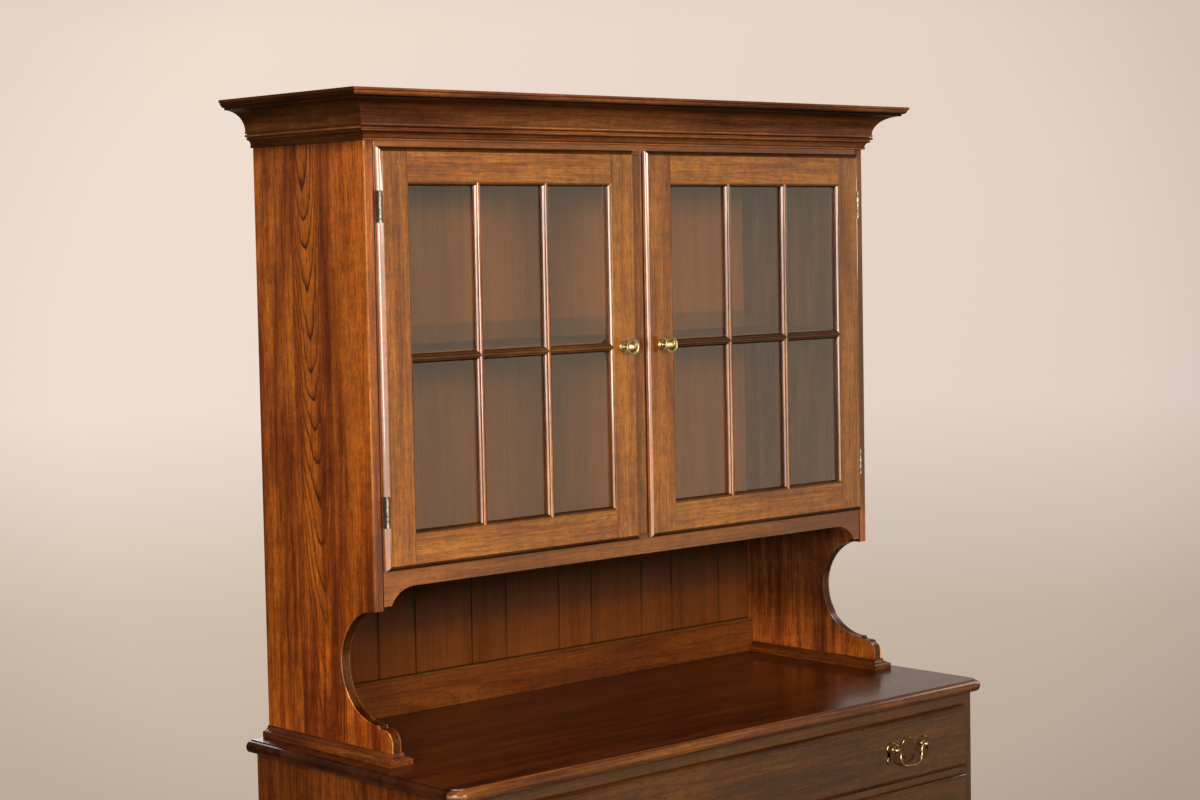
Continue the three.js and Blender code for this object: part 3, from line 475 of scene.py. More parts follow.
def metal(name, bright, dull, rough, patina, relief=0.08):
    """Aged metal, bright and dull in cloudy patches, with fine specks all over."""
    material, tree, shader = new_material(name)
    place = object_place(tree)
    speck = noise(tree, place, *PATINA_SPECK)
    first = PATINA_START - PATINA_SHIFT * patina
    mask = ramp(tree, noise(tree, place, *PATINA_CLOUD), ((first, 0.0), (first + PATINA_WIDTH, 1.0)))
    worn = plus(tree, times(tree, mask, PATINA_ROUGH), times(tree, speck, SPECK_ROUGH))
    looks = {
        "Base Color": blend(tree, mask, bright, dull),
        "Roughness": plus(tree, worn, rough),
        "Metallic": 1.0,
        "Normal": bump(tree, speck, relief, SPECK_DEPTH),
    }
    fill(tree, shader, looks)
    return material


BRASS = metal("brass", (0.40, 0.28, 0.13), (0.16, 0.105, 0.05), 0.13, 0.25)
# A shaded copy of the brass for the plates' faces: painted dark, as though they mirrored the dark room,
# while their bevelled edges keep the plain brass
BRASS_SHADED = metal("brass_shaded", (0.10, 0.055, 0.026), (0.07, 0.038, 0.018), 0.24, 0.4, 0.02)
BRASS_KNOB = metal("knob_brass", (0.52, 0.38, 0.19), (0.13, 0.085, 0.04), 0.22, 0.25)
STEEL = metal("hinge_steel", (0.20, 0.17, 0.13), (0.07, 0.055, 0.04), 0.28, 0.45)


# Scale and detail of the waves in the glass, and its tint where light falls through it
GLASS_WAVES = (9.0, 1.0)
GLASS_TINT = (0.93, 0.95, 0.94, 1)


def glass():
    """Old sheet glass: faintly wavy, and clear to the light that falls through it."""
    material, tree, shader = new_material("sheet_glass")
    looks = {
        "Base Color": (0.96, 0.98, 0.97, 1),
        "Roughness": 0.02,
        "IOR": 1.6,
        "Transmission Weight": 1.0,
        "Normal": bump(tree, noise(tree, object_place(tree), *GLASS_WAVES), 0.15, 2 * MM),
    }
    fill(tree, shader, looks)
    path = add(tree, "ShaderNodeLightPath").outputs
    through = calc(tree, "MAXIMUM", path["Is Shadow Ray"], path["Is Diffuse Ray"])
    clear = add(tree, "ShaderNodeBsdfTransparent", {"Color": GLASS_TINT}).outputs[0]
    both = add(tree, "ShaderNodeMixShader", {0: through, 1: shader.outputs[0], 2: clear}).outputs[0]
    tree.links.new(both, tree.nodes["Material Output"].inputs["Surface"])
    return material


# Edges of the CAD pieces


# Edges at a lower angle than this are shaded smooth, and edges above the other are rounded over
SMOOTH_BELOW = math.radians(32)
ROUND_ABOVE = math.radians(40)
WELD_GAP = 0.01 * MM


def smoothing_group():
    """Shades a mesh smooth where its faces meet at a low angle, and sharp elsewhere."""
    group = bpy.data.node_groups.new("smooth_by_angle", "GeometryNodeTree")
    for way in ("INPUT", "OUTPUT"):
        group.interface.new_socket("Geometry", in_out=way, socket_type="NodeSocketGeometry")
    start = group.nodes.new("NodeGroupInput").outputs[0]
    angle = group.nodes.new("GeometryNodeInputMeshEdgeAngle").outputs["Unsigned Angle"]
    low = add(group, "FunctionNodeCompare", {0: angle, 1: SMOOTH_BELOW}, operation="LESS_EQUAL")
    faces = add(group, "GeometryNodeSetShadeSmooth", {"Geometry": start}, domain="FACE")
    inputs = {"Geometry": faces.outputs[0], "Shade Smooth": low.outputs[0]}
    edges = add(group, "GeometryNodeSetShadeSmooth", inputs, domain="EDGE")
    fill(group, group.nodes.new("NodeGroupOutput"), {0: edges.outputs[0]})
    return group


SMOOTHING = smoothing_group()


def modify(piece, name, kind, **settings):
    """Adds a modifier to a piece, with its settings."""
    made = piece.modifiers.new(name, kind)
    for setting, value in settings.items():
        setattr(made, setting, value)


def ease_edges(piece, width):
    """Welds a mesh's corners, rounds its edges over and shades its curves smooth."""
    modify(piece, "weld", "WELD", merge_threshold=WELD_GAP)
    if width:
        round_over = {"width": width, "segments": 2, "use_clamp_overlap": True}
        only_sharp = {"limit_method": "ANGLE", "angle_limit": ROUND_ABOVE}
        modify(piece, "eased_edges", "BEVEL", **round_over, **only_sharp)
    modify(piece, "smooth_by_angle", "NODES", node_group=SMOOTHING)
    if width:
        modify(piece, "flat_faces", "WEIGHTED_NORMAL", mode="FACE_AREA", keep_sharp=True)


def dress(name, material, edge=0.7 * MM):
    """Gives a CAD node its material and its eased edges."""
    piece = nodes[name]
    piece.data.materials.clear()
    piece.data.materials.append(material)
    ease_edges(piece, edge)


def dress_wood(name, *look, edge=0.7 * MM, **more):
    """Gives a CAD node a wood of its own and its eased edges."""
    dress(name, wood(name, *look, **more), edge)


# Wood of the hutch


# The cathedral figure of a side board: the height of its foot, its middle and the pith's depth there,
# how fast the pith nears the face upwards and leans back, a ring's width, and the figure's breadth
FIGURE_FOOT = 0.987
FIGURE_MIDDLE = 0.119
FIGURE_DEPTH = 0.120
FIGURE_TAPER = 0.0437
FIGURE_LEAN = 0.040
FIGURE_RING = 0.0027
FIGURE_BREADTH = 0.95
# Where a side's two boards meet, and the pith of the rear one, which has straight grain as its pith
# lies far off in the other side: how far behind that joint, how far below the other face, and how high
SIDE_JOINT = 0.186
REAR_PITH = (0.16, 0.03, 0.2)
SIDE_THICK = 19 * MM
# Tones of the front board and the rear one, and of both up the side, where the last holds from 1 m up
FRONT_TONE = (1.0, 0.97, 0.94)
REAR_TONE = (1.04, 1.08, 1.03)
SIDE_SHADE = ((0.86, (1.02, 0.90, 0.88)), (1.0, (1.25, 1.20, 1.15)), (1.0, (0.95, 0.92, 0.80)))
# The shade right under the crown: its height, and its tones from the crown down
CROWN_SHADE = 30 * MM
UNDER_CROWN = ((0.0, 0.35), (0.5, 0.8), (1.0, 1.0))
# A side's front edge ends less than this below the apron's foot, its outer corner has a painted
# highlight, and its inner corner, beside the door's lip, a painted shadow
SIDE_END = 10 * MM
CORNER = 2.0 * MM
CORNER_HIGHLIGHT = (1.5, 2.1, 5.0)
LIP_SHADE = 2.4 * MM
INNER_CORNER_SHADOW = (0.12, 0.12, 0.15)
# Painted shade up the inner face of a side in the niche: lighter at its foot, darker and greyer
# towards the top
NICHE_SIDE_SHADE = (
    (0.84, (1.30, 1.25, 1.20)), (0.88, (0.95, 0.92, 1.10)), (0.95, (0.42, 0.48, 1.0)),
    (1.0, (0.44, 0.55, 1.5)),
)
# Tones across the edge of a side's scroll, from its outer face in: painted shade, with a painted
# highlight on the outer corner
SCROLL_EDGE = (
    (0.0, 0.008, 1.0), (0.02, (2.8, 4.8, 11.0)), (0.10, (2.4, 4.2, 10.0)),
    (0.13, 1.0, (0.25, 0.28, 0.40)),
)


def side_boards(sign, face):
    """The grain and the tints of a side, which is glued up of two boards.

    The board at the back and the inner faces have straight grain. The front edge has a painted highlight on
    its outer corner and a painted shadow on its inner one, the scroll's edge has painted shade and a
    painted highlight, and the side has painted shade under the crown and on its inner faces.
    """
    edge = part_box("face_stile_centre")[0].y
    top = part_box("crown_left")[0].z
    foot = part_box("face_apron")[0].z - SIDE_END
    inner_face = face - SIDE_THICK

    def cross(tree, parts):
        behind, deep, high = REAR_PITH
        rear = above(tree, parts[1], SIDE_JOINT)
        inner = below(tree, size_of(tree, parts[0]), inner_face + 1 * MM)
        pith = (SIDE_JOINT + behind, -sign * (face - deep), high)
        return calc(tree, "MAXIMUM", rear, inner), "along z, facing x", pith

    def tint(tree, parts):
        out = size_of(tree, parts[0])
        rear = above(tree, parts[1], SIDE_JOINT)
        above_foot = above(tree, parts[2], foot)
        tone = blend(tree, rear, FRONT_TONE, REAR_TONE)
        tone = tinted(tree, tone, ramp(tree, parts[2], SIDE_SHADE))
        # Painted shade right under the crown
        tone = tinted(tree, tone, ramp(tree, share(tree, parts[2], top, top - CROWN_SHADE), UNDER_CROWN))
        # The scroll's edge: painted shade, with a painted highlight on its outer corner
        scroll = minus(tree, 1.0, calc(tree, "MAXIMUM", above_foot, rear))
        edge_tone = ramp(tree, over(tree, minus(tree, face, out), SIDE_THICK), SCROLL_EDGE)
        tone = blend(tree, scroll, tone, tinted(tree, tone, edge_tone))
        # A painted highlight on the outer corner of the front edge
        outer = above(tree, out, face - CORNER)
        foremost = times(tree, below(tree, parts[1], edge + CORNER), above_foot)
        tone = blend(tree, times(tree, outer, foremost), tone, CORNER_HIGHLIGHT)
        # Painted shade up the inner face in the niche, and a painted shadow beside the door's lip
        inner_tone = blend(tree, foremost, ramp(tree, parts[2], NICHE_SIDE_SHADE), INNER_CORNER_SHADOW)
        inner = below(tree, out, inner_face + LIP_SHADE)
        return blend(tree, inner, tone, inner_tone)

    return cross, tint


def tones_up(node, stops):
    """A tint up a piece, from 0 at its foot to 1 at its top."""
    low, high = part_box(node)

    def tint(tree, parts):
        return ramp(tree, share(tree, parts[2], low.z, high.z), stops)

    return tint


# Tones of the crown, from its foot to its top: its front has painted shade in its quirks, under its
# ovolo and in the top of its cove, and painted highlights on its beads, and its returns are painted
# darker, with a painted highlight along their bead
CROWN_FRONT = (
    (0.00, 0.03, 1.9), (0.04, 0.056, 0.40), (0.068, 0.155, 0.90), (0.165, 0.185, 0.30), (0.20, 0.24, 2.1),
    (0.255, 0.285, 0.35), (0.295, 0.32, 2.1), (0.335, 0.82), (0.53, 0.80), (0.70, 0.62), (0.74, 0.34),
    (0.79, 0.22), (0.80, 0.85, 0.10), (0.865, 0.7), (0.885, 0.8), (0.895, 0.93, 1.3), (0.94, 0.952, 0.5),
    (0.96, 1.0, 1.5),
)
CROWN_RETURN = (
    (0.00, 0.18, 0.26), (0.22, 0.20), (0.24, 0.28, 0.72), (0.30, 0.24), (0.36, 0.40), (0.55, 0.26),
    (0.80, 0.15), (0.93, 0.18), (0.95, 1.0, 0.38),
)


def hutch_wood():
    """Sides, boards, back, face frame, crown and mouldings of the hutch."""
    for hand, sign in HANDS:
        name = f"hutch_side_{hand}"
        low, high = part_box(name)
        face = high.x if sign > 0 else -low.x
        cross, tint = side_boards(sign, face)
        pith = (FIGURE_MIDDLE, sign * (face - FIGURE_DEPTH), FIGURE_FOOT)
        taper = -sign * FIGURE_TAPER
        more = {"lean": FIGURE_LEAN, "breadth": FIGURE_BREADTH, "edge": 2.4 * MM}
        dress_wood(name, "side", "along z, facing x", FIGURE_RING, taper, pith, cross, tint, **more)
    for name in ("hutch_top", "hutch_floor", "hutch_shelf"):
        dress_wood(name, "inside", "along x, facing z")
    dress_wood("hutch_back", "inside", "along z, facing y", tint=board_tints, edge=0.3 * MM)
    dress_wood("niche_rail", "rail", "along x, facing y", 0.004, tint=rail_edge, edge=1.2 * MM)
    for hand, _ in HANDS:
        dress_wood(f"foot_moulding_{hand}", "foot", "along y, facing x", edge=0.4 * MM)
        dress_wood(f"face_stile_{hand}", "apron", "along z, facing y")
    dress_wood("face_stile_centre", "front", "along z, facing y", tint=lip_shade)
    dress_wood("face_rail_top", "apron", "along x, facing y")
    dress_wood("face_apron", "apron", "along x, facing y", 0.005, edge=0.6 * MM)
    shade = tones_up("crown_front", CROWN_FRONT)
    dress_wood("crown_front", "crown", "along x, facing y", 0.005, 0.006, tint=shade, edge=0.3 * MM)
    shade = tones_up("crown_front", CROWN_RETURN)
    for hand, _ in HANDS:
        name = f"crown_{hand}"
        dress_wood(name, "crown", "along y, facing x", 0.005, 0.006, tint=shade, edge=0.3 * MM)


# The tone of the painted shadow along the right door's lip, by the wood's own tone
LIP_SHADOW_TONE = 0.12


def lip_shade(tree, parts):
    """The centre stile has a painted shadow along the lip of the right door."""
    low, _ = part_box("door_right_frame")
    return ramp(tree, above(tree, parts[0], low.x - LIP_SHADE), ((0.0, 1.0), (1.0, LIP_SHADOW_TONE)))


# The boards of the back: how many narrow ones, a wide one's width by a narrow one's, half a groove
NARROW_BOARDS = 6
WIDE_SHARE = 1.58
GROOVE_HALF = 2.5 * MM
# How dark the grooves are from their middle out, how they fade downwards, and the painted shadow over the
# rail
GROOVE_SHADE = ((0.35, 0.10), (1.0, 1.0))
GROOVE_FADE = ((0.92, 0.45), (0.99, 0.0))
OVER_RAIL = 4 * MM
OVER_RAIL_SHADE = ((0.3, 0.3), (1.0, 1.0))
# The darkest board's tone by the palest one's, and the tone of the back seen from behind
DARKEST_BOARD = 0.80
BEHIND_TONE = (2.3, 3.9, 6.0)
# Tones up the boards of the niche: painted shade at the top, and painted light, warmer, at the foot
NICHE_SHADE = (
    (0.89, (1.85, 1.60, 1.10)), (0.945, (1.60, 1.42, 1.05)), (0.975, (0.88, 0.92, 1.10)),
    (1.0, (0.78, 0.88, 1.15)),
)
# Tones up the back behind the doors: painted light all over, with painted shade under the shelf and
# under the top
CUPBOARD_SHADE = (
    (0.30, (2.55, 2.40, 0.95)), (0.38, (2.45, 2.35, 1.00)), (0.47, 0.505, (1.75, 1.95, 1.05)),
    (0.51, (2.95, 2.75, 1.10)), (0.75, (3.10, 2.90, 1.15)), (0.90, (2.00, 2.25, 1.20)),
    (1.0, (1.90, 2.15, 1.20)),
)


def board_tints(tree, parts):
    """Each board of the back differs a little from its neighbours, and all are paler behind the doors.

    The grooves between the boards are darker, less so near the foot of the back. The boards are painted
    paler behind the doors, with a painted shadow over the rail and painted shade and light in the niche.
    """
    _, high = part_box("hutch_back")
    floor_low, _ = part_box("hutch_floor")
    _, rail_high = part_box("niche_rail")
    inner = -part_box("hutch_side_left")[1].x
    step = 1 / (1 + WIDE_SHARE)
    pair = 2 * inner / (NARROW_BOARDS - 1 + step)
    along = over(tree, plus(tree, parts[0], inner), pair)
    within = calc(tree, "FRACT", along)
    wide = above(tree, within, step)
    number = plus(tree, times(tree, calc(tree, "FLOOR", along), 2.0), wide)
    shade = add(tree, "ShaderNodeTexWhiteNoise", {"W": number}, noise_dimensions="1D").outputs["Value"]
    shade = ramp(tree, shade, ((0.0, DARKEST_BOARD), (1.0, 1.0)))
    off_step = size_of(tree, minus(tree, within, step))
    off_end = minus(tree, 0.5, size_of(tree, minus(tree, within, 0.5)))
    off = times(tree, calc(tree, "MINIMUM", off_step, off_end), pair)
    groove = ramp(tree, over(tree, off, GROOVE_HALF), GROOVE_SHADE)
    shade = tinted(tree, shade, blend(tree, ramp(tree, parts[2], GROOVE_FADE), groove, 1.0))
    # A painted shadow on the boards just over the rail
    over_rail = share(tree, parts[2], rail_high.z, rail_high.z + OVER_RAIL)
    shade = tinted(tree, shade, ramp(tree, over_rail, OVER_RAIL_SHADE))
    # Painted shade at the top of the niche and painted light at its foot
    shade = tinted(tree, shade, ramp(tree, parts[2], NICHE_SHADE))
    # Painted light on the back behind the doors, with painted shade under the shelf and the top
    upper = above(tree, parts[2], floor_low.z)
    rise = share(tree, parts[2], floor_low.z, high.z)
    shade = blend(tree, upper, shade, ramp(tree, rise, CUPBOARD_SHADE))
    behind = above(tree, parts[1], high.y - 1 * MM)
    return blend(tree, behind, shade, BEHIND_TONE)


# Tones of the rail from its top edge down: a painted highlight on the edge, then a line of painted shade
RAIL_EDGE = 6 * MM
RAIL_LIGHT_AND_SHADE = ((0.0, 0.35, (1.3, 1.9, 2.6)), (0.55, 0.6), (0.8, 1.0))


def rail_edge(tree, parts):
    """The top edge of the rail has a painted highlight, with a line of painted shade below it."""
    _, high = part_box("niche_rail")
    return ramp(tree, share(tree, parts[2], high.z, high.z - RAIL_EDGE), RAIL_LIGHT_AND_SHADE)


# Doors


# Widths of a door's stiles and rails, the moulding round its glass, half a bar, and half the line
# where a rail meets a stile, with that line's tone
DOOR_MEMBER = 59 * MM
STICKING = 6 * MM
MUNTIN_HALF = 8 * MM
SHOULDER_LINE = 0.5 * MM
SHOULDER_TONE = 0.3
PANES_ACROSS = 3
# Tones of a door's level members, from the edge of the lip in to the glass: painted shade on the lip,
# a painted highlight on its fillet, and painted shade on the moulding at the glass
DOOR_LIGHT_AND_SHADE = (
    (0.0, 0.16), (0.10, 0.20), (0.125, 0.22), (0.13, 0.142, 1.35), (0.148, 0.905, 1.0), (0.915, 0.40),
    (0.95, 0.28), (1.0, 0.12),
)
# Tones of a door's stiles: painted highlights on the moulding next to the glass, with painted shade
# between them and at the glass
STILE_LIGHT_AND_SHADE = (
    (0.0, 0.905, 1.0), (0.91, 0.927, (1.2, 1.6, 2.4)), (0.93, 0.942, (0.30, 0.25, 0.3)),
    (0.948, (1.2, 1.6, 2.4)), (0.975, (1.1, 1.4, 2.0)), (0.985, (0.4, 0.3, 0.4)),
    (1.0, (0.3, 0.25, 0.35)),
)
# Painted light and shade on an upright bar, from its left to its right: painted highlights on its beads,
# and painted shade at its left, between its beads and to their right
UPRIGHT_LIGHT_AND_SHADE = (
    (0.0, (0.30, 0.22, 0.35)), (0.06, (0.40, 0.30, 0.45)), (0.11, 0.20, (1.15, 1.45, 3.6)),
    (0.22, 0.31, (0.35, 0.28, 0.3)), (0.34, (1.25, 1.6, 4.2)), (0.64, (1.15, 1.35, 3.4)),
    (0.68, (0.6, 0.5, 0.7)), (1.0, (0.8, 0.6, 0.9)),
)
# Painted shade on a level bar, from its foot to its top: darkest at its edges and in its quirks
LEVEL_BAR_SHADE = (
    (0.0, 0.06), (0.10, 0.08), (0.20, 0.32, 0.30), (0.36, 0.12), (0.42, 0.40), (0.60, 0.42), (0.66, 0.14),
    (0.72, 0.32), (0.88, 0.34), (1.0, 0.15),
)


def door_grain(hand):
    """The grain of a door, which runs across in its rails, and its tones: painted shade and painted
    highlights on its mouldings.
    """
    low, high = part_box(f"door_{hand}_frame")
    middle = (low + high) / 2
    reach = (high - low) / 2
    member = DOOR_MEMBER + STICKING
    half_x = reach.x - DOOR_MEMBER
    half_z = reach.z - member

    def cross(tree, parts):
        within = inside_span(tree, parts[0], middle.x, half_x)
        beyond = minus(tree, 1.0, inside_span(tree, parts[2], middle.z, half_z))
        return times(tree, within, beyond), "along x, facing y", None

    def tint(tree, parts):
        off = size_of(tree, minus(tree, parts[0], middle.x))
        line = inside_span(tree, off, half_x, SHOULDER_LINE)
        beyond = minus(tree, 1.0, inside_span(tree, parts[2], middle.z, half_z + STICKING))
        joint = ramp(tree, times(tree, line, beyond), ((0.0, 1.0), (1.0, SHOULDER_TONE)))
        from_side = minus(tree, reach.x, off)
        from_end = minus(tree, reach.z, size_of(tree, minus(tree, parts[2], middle.z)))
        level = below(tree, from_end, from_side)
        # Painted highlights and shade on the stiles' and rails' mouldings
        stile = ramp(tree, over(tree, from_side, member), STILE_LIGHT_AND_SHADE)
        rail = ramp(tree, over(tree, from_end, member), DOOR_LIGHT_AND_SHADE)
        return tinted(tree, joint, blend(tree, level, stile, rail))

    return cross, tint


def muntin_grain(hand):
    """The grain of a door's bars and their tones: the level bar has painted shade, the upright ones painted
    highlights and shade.
    """
    low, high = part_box(f"door_{hand}_muntins")
    middle = (low + high) / 2
    pane = (high.x - low.x) / PANES_ACROSS

    def cross(tree, parts):
        return inside_span(tree, parts[2], middle.z, MUNTIN_HALF), "along x, facing y", None

    def over_bar(tree, value):
        return calc(tree, "MULTIPLY_ADD", value, 0.5 / MUNTIN_HALF, 0.5)

    def tint(tree, parts):
        rise = minus(tree, parts[2], middle.z)
        off = calc(tree, "FLOORED_MODULO", minus(tree, parts[0], middle.x), pane)
        off = minus(tree, off, pane / 2)
        beside = calc(tree, "MINIMUM", size_of(tree, off), MUNTIN_HALF)
        level = below(tree, size_of(tree, rise), beside)
        # Painted highlights and shade across the upright bars, and painted shade on the level bar
        upright = ramp(tree, over_bar(tree, off), UPRIGHT_LIGHT_AND_SHADE)
        return blend(tree, level, upright, ramp(tree, over_bar(tree, rise), LEVEL_BAR_SHADE))

    return cross, tint


def doors():
    """Frames, bars, panes, pegs and knobs."""
    pane = glass()
    for hand, sign in HANDS:
        cross, tint = door_grain(hand)
        more = {"cross": cross, "tint": tint, "edge": 0.5 * MM}
        dress_wood(f"door_{hand}_frame", "front", "along z, facing y", 0.005, **more)
        cross, tint = muntin_grain(hand)
        more = {"cross": cross, "tint": tint, "edge": 0.25 * MM}
        dress_wood(f"door_{hand}_muntins", "front", "along z, facing y", 0.004, **more)
        dress(f"door_{hand}_glass", pane, 0)
        pegs(hand, sign)
        knob(hand)


def bridge(mesh, rings):
    """Makes and returns the faces from ring to ring of vertices, where a ring may be one vertex."""
    made = []
    for low, high in zip(rings, rings[1:]):
        for i in range(max(len(low), len(high))):
            pairs = ((low, i), (low, i + 1), (high, i + 1), (high, i))
            corners = [ring[j % len(ring)] for ring, j in pairs]
            made.append(mesh.faces.new(list(dict.fromkeys(corners))))
    return made


def lathe(name, profile, material, sides=48):
    """A turned solid: (radius, height) points spun about Z, closed at both ends."""
    mesh = bmesh.new()
    turn = [2 * math.pi * i / sides for i in range(sides)]
    rings = []
    for radius, height in profile:
        ring = [(radius * math.cos(a), radius * math.sin(a), height) for a in turn]
        rings.append([mesh.verts.new(place) for place in (ring if radius else [(0, 0, height)])])
    bridge(mesh, rings)
    return finished(name, mesh, material)


def new_object(name, data):
    """A new object in the scene."""
    made = bpy.data.objects.new(name, data)
    bpy.context.scene.collection.objects.link(made)
    return made


def from_mesh(name, mesh, *materials):
    """An object from a bmesh."""
    data = bpy.data.meshes.new(name)
    mesh.to_mesh(data)
    mesh.free()
    for material in materials:
        data.materials.append(material)
    return new_object(name, data)


def finished(name, mesh, *materials):
    """An object from a bmesh, with outward faces and smooth curves."""
    bmesh.ops.recalc_face_normals(mesh, faces=mesh.faces)
    piece = from_mesh(name, mesh, *materials)
    ease_edges(piece, 0)
    return piece


def set_place(piece, matrix):
    """Moves a piece's vertices into the row frame, so that its object stays at the origin."""
    piece.data.transform(matrix)


FACING_FRONT = Matrix.Rotation(math.pi / 2, 4, "X")


# Pegs: how far they stand from the door's hinge side, its free side, its top and its foot, their
# size, and the width of their rings
PEG_OUTER = 44 * MM
PEG_INNER = 39.5 * MM
PEG_TOP = 26 * MM
PEG_FOOT = 30 * MM
PEG_RADIUS = 4.9 * MM
PEG_DEPTH = 2 * MM
PEG_RING = 1.2 * MM
# A peg's domed end, as (share of its radius, height) from its rim in
PEG_DOME = ((1.0, 0), (0.93, 0.12 * MM), (0.5, 0.22 * MM), (0, 0.25 * MM))


def pegs(hand, sign):
    """The pegs that pin the door's joints, end grain to the front."""
    low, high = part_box(f"door_{hand}_frame")
    material = wood(f"door_{hand}_frame", "peg", "along y, facing x", PEG_RING)
    material.name = f"peg_wood_{hand}"
    left, right = (PEG_OUTER, PEG_INNER) if sign < 0 else (PEG_INNER, PEG_OUTER)
    profile = [(0, -PEG_DEPTH), (PEG_RADIUS, -PEG_DEPTH)]
    profile += [(part * PEG_RADIUS, height) for part, height in PEG_DOME]
    for i, x in enumerate((low.x + left, high.x - right)):
        for j, z in enumerate((low.z + PEG_FOOT, high.z - PEG_TOP)):
            peg = lathe(f"door_{hand}_peg_{i}_{j}", profile, material, 24)
            set_place(peg, Matrix.Translation((x, low.y, z)) @ FACING_FRONT)
            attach(peg, f"door_{hand}")


def in_mm(points, radius=0.0, height=0.0):
    """(radius, height) points from ones in millimetres, counted from a radius and a height."""
    return [(radius + out * MM, height + up * MM) for out, up in points]


def arc(centre, radius, start, end, steps=8):
    """(radius, height) points along an arc, by angles in degrees from the radius towards the height."""
    turns = [math.radians(start + (end - start) * i / steps) for i in range(steps + 1)]
    return [(centre[0] + radius * math.cos(a), centre[1] + radius * math.sin(a)) for a in turns]


# A knob's section as (radius, height) in millimetres. The rose's rim, beads and step count their radii
# from the rose's own, which is a share of the knob's.
ROSE_SHARE = 0.80
ROSE_RIM = ((0, 0), (0, 0.5))
ROSE_BEADS = ((-0.9, 0.6), (-3.6, 1.9))
ROSE_STEP = ((-2.4, 1.2), (-2.8, 1.9))
OUTER_BEAD = 0.9 * MM
INNER_BEAD = 0.8 * MM
NECK_FOOT = ((5.2, 2.5), (4.0, 3.6), (3.5, 6))
# From here on heights count from the knob's front end, and the radii of the back, of the middle of the
# rim's rounding and of the ring count from the knob's own
KNOB_NECK = ((3.5, -14), (4.6, -11.0), (7.0, -8.6), (10.6, -6.8))
KNOB_BACK = ((-1.2, -5.8),)
KNOB_RIM = ((-0.9, -4.9),)
KNOB_ROUND = 0.9 * MM
KNOB_RING = ((-2.0, -4.5), (-3.6, -4.9), (-5.0, -4.7), (-5.6, -4.0))
KNOB_DOME = ((7.6, -2.6), (5.4, -1.1), (3.4, -0.25), (2.4, 0), (1.6, -0.2), (0.9, -0.5), (0, -0.55))


def knob_rose(rose):
    """The section of the rose, with two beads on its face, and the foot of the neck."""
    outer, inner = in_mm(ROSE_BEADS, rose)
    profile = in_mm(ROSE_RIM, rose) + arc(outer, OUTER_BEAD, 0, 90, 5) + in_mm(ROSE_STEP, rose)
    return profile + arc(inner, INNER_BEAD, 0, 90, 5) + in_mm(NECK_FOOT)


def knob(hand):
    """A turned brass knob on its rose, with a ringed and domed face."""
    name = f"door_{hand}_knob"
    low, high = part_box(name)
    radius = (high.z - low.z) / 2
    length = high.y - low.y
    profile = [(0, 0), *knob_rose(ROSE_SHARE * radius)]
    profile += in_mm(KNOB_NECK, 0.0, length) + in_mm(KNOB_BACK, radius, length)
    profile += arc(in_mm(KNOB_RIM, radius, length)[0], KNOB_ROUND, -90, 110, 8)
    profile += in_mm(KNOB_RING, radius, length) + in_mm(KNOB_DOME, 0.0, length)
    turned = lathe(f"knob_{hand}", profile, BRASS_KNOB, 64)
    foot = ((low.x + high.x) / 2, high.y, (low.z + high.z) / 2)
    set_place(turned, Matrix.Translation(foot) @ FACING_FRONT)
    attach(turned, f"door_{hand}")
    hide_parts(name)


# Base


# The thickness of a drawer box's side, the top's moulded edge, back from its front and down from its
# face, how far a stile reaches in behind a drawer's lip, and the thickness of the bracket feet
BOX_SIDE = 12 * MM
TOP_EDGE = 24 * MM
EDGE_DEPTH = 4 * MM
RAIL_REACH = 8 * MM
FOOT_THICK = 20 * MM
# The top's pith line: its share of the depth, how far it lies below the top, and its place along it
TOP_PITH = (0.4, 0.05, 0.1)
# Tones of the top's moulded edge: painted light in front and darker at the sides, and how they set in
FRONT_EDGE_LIGHT = (3.0, 4.6, 6.0)
SIDE_EDGE_TONE = (0.55, 0.60, 0.60)
EDGE_STOPS = ((0.10, 0.0), (0.4, 1.0))


def base_wood():
    """Top, case, runners, feet and drawers of the base."""
    low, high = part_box("base_top")
    back, down, along = TOP_PITH
    pith = (low.y + back * (high.y - low.y), low.z - down, along)
    more = {"pith": pith, "tint": top_edge, "edge": 0.4 * MM}
    dress_wood("base_top", "top", "along x, facing z", 0.006, 0.015, **more)
    for hand, _ in HANDS:
        dress_wood(f"base_side_{hand}", "foot", "along z, facing x", 0.005, 0.03, edge=0.5 * MM)
    across = ("drawer", "along x, facing y")
    stiles = at_ends("drawer_1_front", RAIL_REACH, "along z, facing y")
    dress_wood("base_face_frame", *across, cross=stiles, edge=0.5 * MM)
    dress_wood("bracket_feet", *across, cross=feet_returns, edge=0.8 * MM)
    dress_wood("base_back", "plain", "along x, facing y")
    for name in ("runner_frame_1", "runner_frame_2", "base_floor"):
        dress_wood(name, "plain", "along x, facing z")
    sides = at_ends("drawer_1_box", BOX_SIDE, "along y, facing x")
    for number in (1, 2, 3):
        dress_wood(f"drawer_{number}_front", *across, 0.006, 0.012, edge=0.4 * MM)
        dress_wood(f"drawer_{number}_box", "plain", "along x, facing y", cross=sides)


def top_edge(tree, parts):
    """The moulded edge of the top has painted light in front, paler than its face, and is darker and duller
    along its sides.
    """
    low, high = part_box("base_top")
    front = below(tree, parts[1], low.y + TOP_EDGE)
    edge = blend(tree, front, SIDE_EDGE_TONE, FRONT_EDGE_LIGHT)
    down = ramp(tree, share(tree, parts[2], high.z, high.z - EDGE_DEPTH), EDGE_STOPS)
    return blend(tree, down, 1.0, edge)


def at_ends(node, inwards, turn):
    """The grain at a piece's two ends: from how far inwards of a node's box, and its turn."""
    limit = -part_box(node)[0].x - inwards

    def cross(tree, parts):
        return above(tree, size_of(tree, parts[0]), limit), turn, None

    return cross


